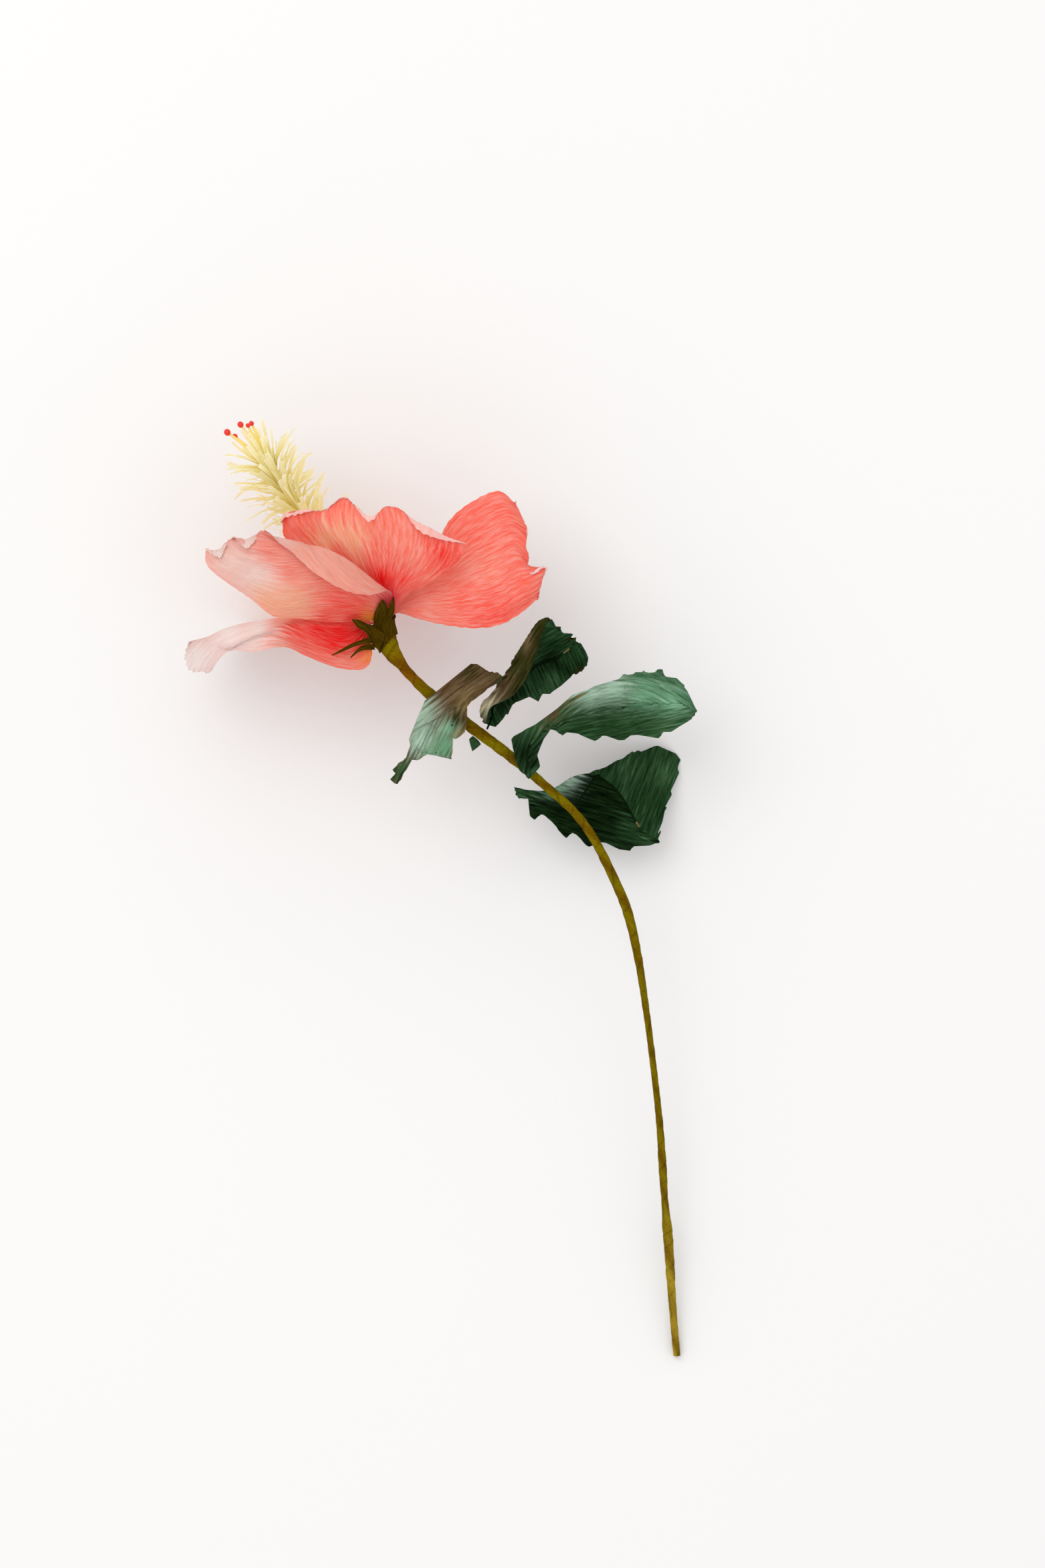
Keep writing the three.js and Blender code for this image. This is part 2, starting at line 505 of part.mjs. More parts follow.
const wrapCurve = STEM.map(([, , , r]) => new THREE.Vector3(r, 0, 0));
const WRAP_STEPS = STEM.length - 1;
const wrapBody = bar(stemPoints, (t) => along(wrapCurve, t).x, WRAP_SIDES, WRAP_STEPS);
const borePoints = [boreFrom, ...stemPoints.slice(1, -1), insideWrap, beyondWrap];
const wrapBore = bar(borePoints, () => WIRE_BORE, WIRE_SIDES, WRAP_STEPS + 1);
add("stem_wrap", cut(wrapBody, wrapBore), OLIVE);

// Petals: angle of each root round the flower, and which way its columns turn
const PETALS = [
  { name: "petal_1", ribs: PETAL_1, angle: 126, turn: 1, rows: 16, columns: 13 },
  { name: "petal_2", ribs: PETAL_2, angle: 54, turn: 1, rows: 11, columns: 17 },
  { name: "petal_3", ribs: PETAL_3, angle: -18, turn: 1, rows: 13, columns: 11 },
  { name: "petal_4", ribs: PETAL_4, angle: 198, turn: -1, rows: 17, columns: 11 },
  { name: "petal_5", ribs: PETAL_5, angle: 270, turn: -1, rows: 11, columns: 9 },
];
for (const { name, ribs, angle, turn, rows, columns } of PETALS) {
  add(name, sheet(surface(withClaw(ribs, angle, turn), rows, columns), PETAL_SHEET), CORAL);
}

// Leaves
const BOTH = ["first", "last"];
const leafA = surface(LEAF_A, ...LEAF_MESH.a);
const leafB = notchMargins(surface(LEAF_B, ...LEAF_MESH.b), NOTCH, ["first"]);
const leafC = notchMargins(surface(LEAF_C, ...LEAF_MESH.c), NOTCH, BOTH);
const leafNear = notchMargins(surface(LEAF_D_NEAR, ...LEAF_MESH.near), NOTCH, ["first"]);
const leafFar = notchMargins(surface(LEAF_D_FAR, ...LEAF_MESH.far), NOTCH, ["last"]);
add("leaf_a", sheet(leafA, LEAF_SHEET), LEAF_GREEN);
add("leaf_b", sheet(leafB, LEAF_SHEET), LEAF_GREEN);
add("leaf_c", sheet(leafC, LEAF_SHEET), LEAF_GREEN);
add("leaf_d", join(sheet(leafNear, LEAF_SHEET), sheet(leafFar, LEAF_SHEET)), LEAF_GREEN);
add("stipule", sheet(surface(STIPULE, ...LEAF_MESH.scrap), LEAF_SHEET), LEAF_GREEN);

// Leaf wires: from the stem along the midrib, on the near face (1) or the far face (-1) of the leaf
const LEAF_WIRE_SIDES = 6;
const LEAF_WIRE_LIFT = LEAF_SHEET / 2 + LEAF_WIRE_RADIUS + GLUE_GAP;
function leafWire(name, { root, grid, column, face, from, to }) {
  const path = [new THREE.Vector3(...root)];
  for (let i = from; i <= to; i++) {
    const normal = normalAt(grid, i, column);
    const lift = Math.sign(normal.z) * face * LEAF_WIRE_LIFT;
    path.push(grid[i][column].clone().addScaledVector(normal, lift));
  }
  add(name, bar(path, () => LEAF_WIRE_RADIUS, LEAF_WIRE_SIDES, path.length - 1), OLIVE);
}
leafWire("leaf_wire_a", { root: [8.6, 74.8, 58.9], grid: leafA, column: 4, face: -1, from: 7, to: 12 });
leafWire("leaf_wire_b", { root: [19.8, 67.8, 55.6], grid: leafB, column: 4, face: 1, from: 1, to: 11 });
leafWire("leaf_wire_c", { root: [38, 51.8, 51.6], grid: leafC, column: 4, face: -1, from: 3, to: 16 });
leafWire("leaf_wire_d", { root: [58.3, 37.4, 43.4], grid: leafFar, column: 0, face: 1, from: 2, to: 10 });

// Collar: a short tube round the petal roots with five pointed sepals
const COLLAR_SIDES = 12;
const COLLAR_PROFILE = [
  [-COLLAR_LENGTH, COLLAR_RADIUS + COLLAR_FOOT_SWELL],
  [-COLLAR_LENGTH / 2, COLLAR_RADIUS + COLLAR_SWELL],
  [0, COLLAR_RADIUS],
];
const collarGrid = (grow) =>
  COLLAR_PROFILE.map(([level, radius]) =>
    Array.from({ length: COLLAR_SIDES }, (_, k) => round(level, radius + grow, (360 * k) / COLLAR_SIDES)),
  );
function collarTube() {
  const rings = [...collarGrid(COLLAR_SHEET), ...collarGrid(0).reverse()];
  const triangles = [];
  rings.forEach((_, i) => {
    const next = (i + 1) % rings.length;
    for (let k = 0; k < COLLAR_SIDES; k++) {
      const right = (k + 1) % COLLAR_SIDES;
      const [a, b] = [i * COLLAR_SIDES + k, i * COLLAR_SIDES + right];
      const [c, d] = [next * COLLAR_SIDES + right, next * COLLAR_SIDES + k];
      triangles.push([a, b, c], [a, c, d]);
    }
  });
  return solidFrom(rings.flat(), triangles);
}
function sepal({ angle, half, tip }) {
  const radius = COLLAR_RADIUS + COLLAR_SHEET / 2;
  const spread = THREE.MathUtils.radToDeg(half / radius);
  const sides = [-1, 0, 1];
  const root = sides.map((side) => round(SEPAL_ROOT_LEVEL, radius, angle + side * spread));
  const rim = sides.map((side) =>
    round(SEPAL_RIM_LEVEL, radius + SEPAL_LIFT, angle + side * spread * SEPAL_RIM_WIDTH),
  );
  const end = new THREE.Vector3(...tip);
  const outwards = round(0, 1, angle).sub(BASE);
  const middle = rim.map((p) => p.clone().lerp(end, 0.5).addScaledVector(outwards, SEPAL_BOW));
  const point = middle.map((p) => end.clone().addScaledVector(p.clone().sub(middle[1]), SEPAL_TIP_WIDTH));
  return sheet(surface([root, rim, middle, point], ...SEPAL_MESH), COLLAR_SHEET);
}
add("calyx", join(collarTube(), ...SEPALS.map(sepal)), DARK_OLIVE);

function bract(points) {
  const across = new THREE.Vector3(0, 1, 0);
  const ribs = points.map((p, i) => {
    const half = THREE.MathUtils.lerp(BRACT_HALF_WIDTH, BRACT_END_HALF_WIDTH, i / (points.length - 1));
    return [p.clone().addScaledVector(across, half), p, p.clone().addScaledVector(across, -half)];
  });
  return sheet(surface(ribs, ...BRACT_MESH), COLLAR_SHEET);
}
add("bract_1", bract(BRACT_1), DARK_OLIVE);
add("bract_2", bract(BRACT_2), DARK_OLIVE);

// Stamen fringe: a wound band round the wire with splayed strips
const column = new THREE.CatmullRomCurve3(columnPoints, false, "catmullrom");
const SLEEVE_STEPS = columnPoints.length - 1;
const topOut = column.getPoint(1).addScaledVector(column.getTangent(1), SLEEVE_OVERRUN);
const sleeveBody = bar(columnPoints, () => SLEEVE_RADIUS, WIRE_SIDES, SLEEVE_STEPS);
const sleeveRoute = [
  stemPoints.at(-1),
  columnPoints[0].clone().lerp(columnPoints[1], SLEEVE_FOOT_SHARE),
  ...columnPoints.slice(1, -1),
  columnPoints.at(-2).clone().lerp(columnPoints.at(-1), SLEEVE_TOP_SHARE),
  topOut,
];
const sleeveBore = bar(sleeveRoute, () => WIRE_BORE, WIRE_SIDES, SLEEVE_STEPS + 2);
function fringeStrip(n) {
  const share = n / (FRINGE_STRIPS - 1);
  const t = THREE.MathUtils.lerp(FRINGE_START, FRINGE_END, share);
  const forward = column.getTangent(t);
  const side = new THREE.Vector3().crossVectors(forward, FRONT).normalize();
  const rise = new THREE.Vector3().crossVectors(side, forward);
  const turn = radians(n * GOLDEN_ANGLE);
  const out = side.clone().multiplyScalar(Math.cos(turn)).addScaledVector(rise, Math.sin(turn));
  const width = new THREE.Vector3().crossVectors(forward, out);
  const splay = radians(FRINGE_SPLAY);
  const way = forward.clone().multiplyScalar(Math.cos(splay)).addScaledVector(out, Math.sin(splay));
  const from = column.getPoint(t).addScaledVector(out, (SLEEVE_RADIUS + WIRE_BORE) / 2);
  const ribs = [0, 1].map((end) =>
    [-1, 1].map((k) =>
      from.clone()
        .addScaledVector(way, end * FRINGE_LENGTH)
        .addScaledVector(width, k * FRINGE_HALF_WIDTH),
    ),
  );
  return sheet(ribs, FRINGE_SHEET);
}
const strips = Array.from({ length: FRINGE_STRIPS }, (_, n) => fringeStrip(n));
add("stamen_fringe", cut(join(sleeveBody, ...strips), sleeveBore), YELLOW);

// Stigmas: a thread from the top of the column with a bead at its end
const top = column.getPoint(1);
const upwards = column.getTangent(1);
const aside = new THREE.Vector3().crossVectors(upwards, FRONT).normalize();
STIGMAS.forEach(({ bead, radius, root }, n) => {
  const end = new THREE.Vector3(...bead);
  const start = top.clone()
    .addScaledVector(upwards, STIGMA_LIFT)
    .addScaledVector(aside, root[0])
    .addScaledVector(FRONT, root[1]);
  const middle = start.clone().lerp(end, 0.5).addScaledVector(upwards, STIGMA_BOW);
  const thread = bar([start, middle, end], () => STIGMA_THREAD, LEAF_WIRE_SIDES, STIGMA_STEPS);
  const ball = closed(new THREE.IcosahedronGeometry(radius, BEAD_DETAIL).translate(...bead));
  add("stigma_" + (n + 1), join(thread, ball), BEAD_RED);
});

function closed(geometry) {
  const positions = geometry.getAttribute("position");
  const keys = new Map();
  const vertices = [];
  const order = [];
  for (let i = 0; i < positions.count; i++) {
    const p = new THREE.Vector3().fromBufferAttribute(positions, i);
    const key = p.toArray().map((v) => v.toFixed(3)).join();
    if (!keys.has(key)) keys.set(key, vertices.push(p) - 1);
    order.push(keys.get(key));
  }
  const triangles = [];
  for (let i = 0; i < order.length; i += 3) triangles.push(order.slice(i, i + 3));
  return solidFrom(vertices, triangles);
}

export default group;
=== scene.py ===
import math

import bpy
import numpy as np
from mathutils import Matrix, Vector


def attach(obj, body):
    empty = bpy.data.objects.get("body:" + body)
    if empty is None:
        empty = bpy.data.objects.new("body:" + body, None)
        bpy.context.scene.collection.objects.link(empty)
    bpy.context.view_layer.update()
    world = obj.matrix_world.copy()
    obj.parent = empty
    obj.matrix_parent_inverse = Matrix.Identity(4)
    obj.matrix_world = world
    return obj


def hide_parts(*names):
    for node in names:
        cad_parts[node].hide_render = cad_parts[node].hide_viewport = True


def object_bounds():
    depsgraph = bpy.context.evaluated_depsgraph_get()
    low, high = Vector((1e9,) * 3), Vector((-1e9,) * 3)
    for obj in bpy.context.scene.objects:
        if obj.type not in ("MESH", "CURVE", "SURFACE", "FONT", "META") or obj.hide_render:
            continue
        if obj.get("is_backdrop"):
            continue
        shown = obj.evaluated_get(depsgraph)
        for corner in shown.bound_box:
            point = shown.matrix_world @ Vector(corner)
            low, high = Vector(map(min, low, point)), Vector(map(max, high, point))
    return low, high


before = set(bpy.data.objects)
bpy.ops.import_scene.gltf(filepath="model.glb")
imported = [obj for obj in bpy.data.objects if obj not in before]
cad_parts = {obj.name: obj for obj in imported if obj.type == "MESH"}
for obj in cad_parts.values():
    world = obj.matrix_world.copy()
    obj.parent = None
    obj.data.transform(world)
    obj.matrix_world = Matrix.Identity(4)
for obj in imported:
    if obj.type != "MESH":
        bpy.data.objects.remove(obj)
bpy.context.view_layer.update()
MM = 0.001

# Flower base: where the petals leave the collar, and the way the flower faces
BASE = np.array([-23.7, 112, 64.3])
AXIS = np.array([-0.25, 0.96, -0.1])
AXIS = AXIS / np.linalg.norm(AXIS)
RIGHT = np.cross(AXIS, (0, 0, 1))
RIGHT = RIGHT / np.linalg.norm(RIGHT)
FRONT = np.cross(RIGHT, AXIS)
CLAW_RADIUS = 3.5
CLAW_HALF_ANGLE = 27
CLAW_LEVELS = (-3, 0.8)

PETAL_THICKNESS = 0.3
LEAF_THICKNESS = 0.4
COLLAR_THICKNESS = 0.35
STRETCH = 4

# Stem centreline from the cut end to the flower base: x, y, z, radius
STEM = [
    (100.2, -197.6, 1.6, 1.5),
    (98.4, -177.2, 5.4, 1.6),
    (96.8, -152.8, 9.8, 2),
    (96, -143, 11.5, 2),
    (94.9, -131, 13.7, 1.45),
    (94.2, -120, 15.7, 1.7),
    (92.7, -98.5, 19.4, 1.45),
    (90, -74, 23.6, 1.35),
    (87, -51, 27.5, 1.4),
    (83.6, -29, 31.3, 1.7),
    (79, -9, 35, 2.05),
    (72, 7.6, 38.4, 1.95),
    (64.3, 22.5, 41.6, 1.85),
    (56, 33.5, 44.3, 1.8),
    (45.5, 43, 47, 1.85),
    (36, 51.2, 49.3, 2),
    (25, 60, 52, 2.3),
    (11, 70.4, 55, 2.45),
    (-4, 82.4, 58.8, 2.4),
    (-12.2, 90.3, 61.6, 2.1),
    (-16.3, 95.2, 63.4, 2.5),
    (-20.7, 101.2, 65, 3.9),
    (-22.2, 106.3, 64.9, 4),
]
# Column inside the flower: x, y, z
COLUMN = [
    (-23.7, 112, 64.3),
    (-27, 119.5, 63.6),
    (-34.5, 130, 62.5),
    (-47, 145.5, 60.5),
    (-60, 161, 58.8),
    (-67.5, 171.5, 58),
    (-73, 180.5, 57.8),
]

# Ribs of each sheet from its root to its tip; a rib lists points across the sheet as x, y, z in turn
PETAL_1 = [
    (-31.5, 113.3, 70.5, -29.5, 115.5, 72, -27.2, 117.8, 73.5, -24.6, 120.4, 75, -22, 124, 77,
     -20, 125, 78.5),
    (-45, 112.5, 76, -41.5, 117, 80, -37.5, 121.5, 83, -33, 126, 84.5, -28.5, 131, 85,
     -30, 123.6, 89),
    (-58, 114, 79, -53.5, 119.5, 86, -48, 125.5, 90, -42.5, 132, 91.5, -38.5, 138.6, 91,
     -41, 126, 97),
    (-69.5, 115, 81, -64.5, 121, 90, -59, 128, 95, -53.5, 135.5, 96, -48.5, 143.4, 94,
     -53, 133.5, 100.5),
    (-80, 123, 82, -75, 128, 90.5, -69.5, 133.5, 95.5, -63.5, 140, 96.5, -58.5, 145.8, 94,
     -61.5, 141.4, 99.5),
    (-89.5, 129.3, 82, -85, 134, 88.5, -79.5, 138.5, 93.5, -73, 143.5, 95, -67.5, 147.6, 92.5,
     -67, 145, 97),
    (-97.2, 136.5, 80, -94, 139.5, 83.5, -88, 143.5, 86, -81, 145, 91, -74.5, 149.6, 90.5,
     -70, 148.8, 94),
    (-98.5, 143, 78, -92, 139.8, 85, -87, 147.5, 82, -80, 144.5, 91, -74, 150.3, 88,
     -71.5, 150, 91.5),
]
PETAL_2 = [
    (-25.8, 119.3, 68.6, -24.8, 119.4, 69.3, -23.8, 119.4, 69.8, -22.8, 119.2, 70.2,
     -21.8, 119, 70.4, -20.8, 118.8, 70.2, -19.9, 118.5, 69.8, -19.1, 118.2, 69.2,
     -18.4, 117.8, 68.3),
    (-36, 127.5, 70, -33, 128, 71.5, -30, 128.3, 73.3, -27, 128.2, 75, -24, 127.7, 76,
     -21, 126.9, 76.2, -18.2, 126, 75.8, -15.6, 125, 74.8, -13.2, 124.2, 73.2),
    (-48, 135, 70.5, -43.5, 137, 74, -38, 138, 78.5, -32, 138.5, 82, -26.5, 137.8, 84.5,
     -21, 136.5, 85, -15.3, 134.5, 84, -9.5, 131.3, 81, -3.5, 129.3, 77.5),
    (-58.5, 142, 71, -53, 146, 76, -45.5, 147.5, 83, -37, 148.5, 89.5, -28.5, 147, 93,
     -21.5, 145.8, 93.5, -14, 142.5, 92, -4.8, 137.5, 87, 4.5, 134.8, 80.5),
    (-65.2, 148, 72, -59.5, 153, 77.5, -49, 154, 86, -39, 157, 94, -30, 152.5, 99, -23, 154, 99.5,
     -15, 152, 97, -3.5, 144.5, 91, 9, 139.5, 82.5),
    (-66.2, 152.5, 73, -62, 158.8, 78.5, -50, 158.9, 87, -39, 163.4, 94, -30, 156.8, 102.5,
     -23.2, 159.6, 100, -15.5, 158.2, 97.5, -5, 150.9, 94, 10.6, 144.6, 83.5),
]
PETAL_3 = [
    (-17.6, 116.5, 66.2, -16.9, 118, 64.9, -16.4, 119.4, 63, -16.2, 120.7, 61, -16, 121.9, 58.8,
     -16, 123, 56.5),
    (-9, 113.9, 68.5, -8.5, 117.5, 68, -8, 121.5, 66.5, -8.3, 126, 63.5, -9, 130.5, 59,
     -10.5, 134.5, 53),
    (2, 111.3, 70.5, 2.5, 117, 70.5, 3, 123.5, 69, 2.5, 130.5, 66, 1.5, 137.5, 60.5, -2, 144, 53),
    (14, 110, 71.5, 14, 117, 72.5, 14, 125, 71.5, 13, 134, 68.5, 10.5, 144, 62.5, 4, 155.5, 54),
    (25, 111.3, 71, 25, 118.5, 73, 24.5, 127, 72.5, 23, 137, 69.5, 20, 149.5, 63, 13.5, 163.5, 53.5),
    (34, 116.2, 69, 34, 123, 71.5, 33.5, 129.5, 71.5, 31, 140, 68.5, 29, 153.5, 62, 24.5, 168.2, 52),
    (40, 121, 66.5, 42.3, 129.5, 68.5, 44, 135.3, 70, 36, 138.5, 66.5, 35.8, 152, 61.5,
     31, 163.6, 53),
]
PETAL_4 = [
    (-30.3, 110.2, 66.8, -30.8, 110.8, 66.3, -31.2, 111.5, 65.4, -31.4, 112.2, 64.3,
     -31.4, 112.8, 62.8, -31.1, 113.2, 61, -30.5, 113.5, 58.8),
    (-28.3, 100.3, 69, -31, 103.3, 70.2, -33.3, 106.2, 70.6, -35.3, 108.8, 71, -37, 111.5, 70.5,
     -38.5, 114.3, 60, -38.5, 116.5, 47),
    (-31.3, 93.1, 71, -37, 98.8, 73, -41.5, 104.9, 71.5, -44, 108.7, 73.3, -46.5, 112.2, 73,
     -48, 115, 55, -48, 116.5, 32),
    (-42.5, 93.4, 72, -47.5, 98.8, 74, -52, 104.4, 72, -54, 108.6, 74, -56.5, 112.8, 73.5,
     -58, 115, 48, -58, 116, 14),
    (-55, 98, 71.5, -59, 101.8, 73, -62.5, 104.8, 71.5, -64.2, 108.4, 73, -66, 112, 72.5,
     -68.5, 114, 42, -69, 114.6, 0.9),
    (-65, 102.2, 71, -68.5, 104.3, 72, -72, 107.5, 71, -73.8, 108, 71.8, -76, 108, 71,
     -80, 112.2, 42, -81, 112.8, 0.9),
    (-78, 100.2, 69.5, -79.5, 102, 70, -81, 103.8, 69.7, -82.5, 104.7, 69.7, -84.5, 104.2, 69,
     -89, 109.8, 44, -91, 110.3, 12),
    (-86.3, 100.8, 67.6, -86.6, 101.5, 67.7, -87, 102.2, 67.6, -87.6, 102.6, 67.2,
     -89.3, 101.5, 66.3, -95, 106.5, 46, -98, 106.7, 22),
    (-91.5, 98.3, 64.8, -92, 98.8, 64.5, -92.8, 99.4, 63.8, -94, 100, 62.3, -96, 101, 58.5,
     -100.5, 104, 46, -103, 105.5, 33),
    (-96.2, 91.9, 63, -97.8, 91, 62.3, -100, 91.9, 60.8, -103.2, 91.6, 58.3, -106, 93.2, 55,
     -107.6, 98.4, 48.5, -106, 104.8, 40),
]
PETAL_5 = [
    (-28, 116.5, 57.2, -25.7, 117.3, 56, -23.5, 117.8, 55.6, -21.3, 118.2, 56, -19, 118.6, 57.2),
    (-38, 123.5, 45, -32, 126, 40, -25, 127, 38, -18, 127, 40, -11, 126, 45),
    (-48, 131, 30, -38, 135.5, 22.5, -28, 137, 20, -17, 136.5, 22.5, -6, 134, 30),
    (-55, 139, 17, -43, 144, 10, -30, 145.5, 8, -17, 144.5, 10, -3, 140.5, 17),
    (-57, 146, 8, -45.5, 150.5, 0.2, -32, 151, 3, -18, 150.5, 0.2, -4, 145.5, 8),
]
LEAF_A = [
    (24, 91.5, 69, 25.3, 90.8, 69.5, 26.2, 89.6, 69.5, 25.2, 87.6, 69),
    (19.5, 92.6, 68.5, 20.7, 90, 70, 21.5, 87.3, 70, 20.5, 84.6, 68.5),
    (13.8, 95.2, 66, 14.8, 90.7, 70, 15.3, 85.8, 70.5, 14.6, 80.6, 66.5),
    (5, 89, 65.5, 7.3, 85, 70, 9.5, 81, 70.5, 11.5, 76.4, 64.5),
    (-3.5, 82.3, 66.5, 0.5, 78.2, 70.5, 5, 74, 69.5, 10, 69.3, 62.5),
    (-8.3, 76.2, 67.5, -3.5, 72.2, 71.5, 1.8, 68, 70, 8, 64.3, 63),
    (-11, 68.8, 67, -7, 66, 70, -1.5, 63.3, 69, 5, 61.5, 64),
    (-12.8, 61.5, 66, -9.8, 60, 67.5, -4, 58.2, 67.5, 3.5, 55.6, 64.5),
    (-14, 55.7, 64.5, -12.9, 55.6, 65.5, -11.7, 55.4, 65.8, -9.8, 54.8, 65.2),
    (-19, 50.8, 62.5, -17.9, 50.2, 63.2, -16.9, 49.7, 63.3, -16, 49.3, 62.8),
    (-20.7, 47, 61, -20.2, 46.2, 61.4, -19.5, 45.5, 61.5, -18.6, 45, 61.2),
]
LEAF_B = [
    (23.3, 68.8, 56.3, 22.2, 69.1, 55.1, 20.9, 69.5, 54.6, 19.6, 70, 55.4, 18.2, 70.5, 58,
     19.3, 70.3, 60),
    (27.8, 74.3, 60, 26, 75.8, 56.5, 24.2, 77, 54.5, 21, 77.8, 58, 17.8, 78, 64, 21.5, 77, 67.5),
    (33.5, 79.9, 61, 31.6, 82.5, 56.5, 29.8, 85.5, 54, 27.5, 87, 58, 24.3, 86.6, 64, 30, 81.5, 68.5),
    (40, 80.9, 61.5, 38.4, 86, 56, 36.8, 91, 53, 34.5, 95, 59, 30.8, 96.6, 66, 36.5, 89.6, 70),
    (46.3, 83.1, 62, 45.3, 88.5, 56, 44.5, 93, 52.5, 42, 100.5, 58.5, 36.6, 105.4, 66.5,
     40.8, 100.3, 70),
    (52.5, 87, 61, 52, 90.2, 55.5, 51.5, 92.7, 52, 51.5, 103, 58, 41.8, 113, 66.5, 42.8, 107.5, 69.5),
    (57.2, 91.4, 59, 59, 92.6, 55.5, 62.4, 96, 53, 57, 106, 57.5, 46.8, 114, 64.5, 44.2, 112.2, 67.5),
]
LEAF_C = [
    (34.6, 49.6, 53.5, 36, 48.4, 53.8, 37.4, 47, 53.8, 38.9, 48.6, 53, 40.3, 50.3, 51.8),
    (31.6, 57, 57, 34.2, 56.4, 57.6, 36.6, 55.8, 57.6, 38.6, 55.6, 56.2, 40.4, 56, 53.5),
    (30, 63.4, 59, 34, 62.6, 60.5, 37.3, 62, 60.5, 40, 61.6, 58.5, 42.2, 61.6, 54),
    (34.6, 67.4, 61, 37.5, 67, 62.5, 40.2, 66.5, 62.5, 42.8, 66, 60, 45.3, 66.8, 55),
    (44.2, 72.6, 60.5, 46.2, 71.4, 62.8, 48.2, 70, 63.2, 49.8, 68.3, 61, 51.5, 65.6, 56.5),
    (55.5, 82, 58, 57.2, 78.6, 61.5, 58.8, 75, 63, 60.3, 70.4, 61.5, 62, 64.2, 57.5),
    (67, 86.4, 56.5, 68.5, 84, 60, 70, 82.2, 62, 71, 73, 61, 72, 64.3, 56.5),
    (79.5, 91, 54.5, 80, 86, 58.5, 80.5, 81, 60.5, 81, 73, 59, 81.3, 65.3, 54.5),
    (92.5, 92.3, 51.5, 91.5, 86, 55.5, 90.5, 79, 57.5, 90.5, 72, 56, 91.5, 64.6, 51.5),
    (102.3, 86.5, 49.5, 101.8, 82.5, 52.5, 101.4, 78, 53.5, 101.4, 74, 52.5, 101.5, 70, 50),
    (107, 79, 48.5, 107.6, 77.2, 49.2, 108, 75.4, 49.4, 107.4, 74, 49.2, 106.4, 72.7, 48.7),
]
LEAF_D_NEAR = [
    (33, 38.6, 29, 32.3, 40, 30, 31.7, 41.7, 31, 31.2, 43.3, 31.5),
    (38.5, 30.5, 27, 38.5, 34.5, 30, 38.3, 38.5, 32, 38, 42.2, 33),
    (46, 29.3, 26, 46.5, 33.5, 30.5, 46.8, 38, 33.5, 46.5, 42.3, 35.5),
    (52.7, 22.4, 24, 54, 30, 29.5, 55.5, 38, 33.5, 56, 47.8, 37.5),
    (61.5, 19.6, 22.5, 62.5, 28.5, 28.5, 63.5, 38, 31.5, 64.5, 49, 36.5),
    (70, 19.9, 21.5, 71, 28, 27.5, 71.5, 36.5, 31, 72, 44.6, 33),
    (79, 16.8, 20, 79.5, 23, 24, 80, 29.5, 27, 79.8, 34.4, 28),
    (86, 19, 19.5, 86, 21, 21, 86, 23, 22, 85.8, 24.9, 22.8),
    (92.8, 20, 18.3, 92.7, 20.5, 18.5, 92.5, 21, 18.7, 92, 21.6, 18.9),
]
LEAF_D_FAR = [
    (61.5, 48.6, 36.5, 62.2, 49, 36, 62.9, 49.4, 35.3, 63.6, 49.8, 34.4),
    (66, 48.2, 35.8, 68.5, 49.5, 32, 71, 51, 28, 73.5, 53.6, 24),
    (72, 44.8, 33, 76, 49, 26.5, 80, 53.5, 20, 84.5, 58.9, 12),
    (77, 39.3, 30, 82, 46, 22, 87, 53.5, 13.5, 92.5, 60.8, 4.5),
    (80.5, 33.4, 27.6, 86.5, 42, 20, 93, 49.5, 10, 101.6, 55, 0.3),
    (84, 27.3, 24.2, 88.5, 33.5, 18.5, 93.5, 39, 11.5, 98.2, 41.2, 6),
    (88.5, 23.3, 21, 90.5, 26.5, 18, 92.7, 29.5, 14.5, 94.6, 32.5, 11.5),
    (91.7, 21.4, 19, 92.1, 22.4, 18.2, 92.6, 23.4, 17.3, 93, 24.4, 16.5),
]
STIPULE = [
    (12.2, 63.4, 48.6, 13, 64.4, 48.8, 13.9, 65, 48.6),
    (12.8, 61.2, 47.6, 14.4, 62.3, 48.2, 16, 63.3, 47.8),
    (13.6, 58.6, 46.6, 15.2, 59.8, 47.2, 17.2, 61.6, 46.8),
]

# Rims beyond the free ribs, which roll over in their dips so that the paler inner face shows
PETAL_1_RIM = [
    (-98.2, 142.9, 79, -92.5, 143, 84, -87, 147.4, 83, -80.5, 147.2, 90, -74.5, 150, 89, -71.5, 150, 91.5),
    (-97.6, 142.2, 80.5, -91.8, 139.4, 87, -86.6, 147.3, 84.5, -80, 142.9, 94, -73.6, 150.2, 90,
     -71.2, 149.8, 92),
]
PETAL_2_RIM = [
    (-66.2, 153.6, 73.6, -62.6, 159.2, 78.6, -50, 158.4, 87.2, -39, 163.2, 94.2, -30, 156.6, 103,
     -23.2, 159.4, 100.2, -15.5, 158, 97.6, -6, 152.6, 94.4, 10.6, 144.5, 83.7),
    (-66, 154.2, 74.4, -62.2, 157, 80.6, -50, 159, 87.8, -39, 163.8, 94.8, -29.5, 154, 105.2,
     -23.2, 160, 100.8, -15.2, 158.6, 98.2, -6.5, 148.9, 97.4, 10.8, 144.9, 84),
]
PETAL_3_RIM = [
    (40.2, 121.3, 66.8, 42.4, 129.7, 69, 44.2, 135.6, 70.4, 36.6, 136.9, 67.8, 35.9, 152, 61.8, 31.1, 163.7, 53.2),
    (40.6, 121.9, 67, 42.7, 130.3, 69.4, 44, 135.4, 71.6, 37.6, 133.2, 71, 35.8, 152.4, 62, 31, 164.2, 53.4),
]

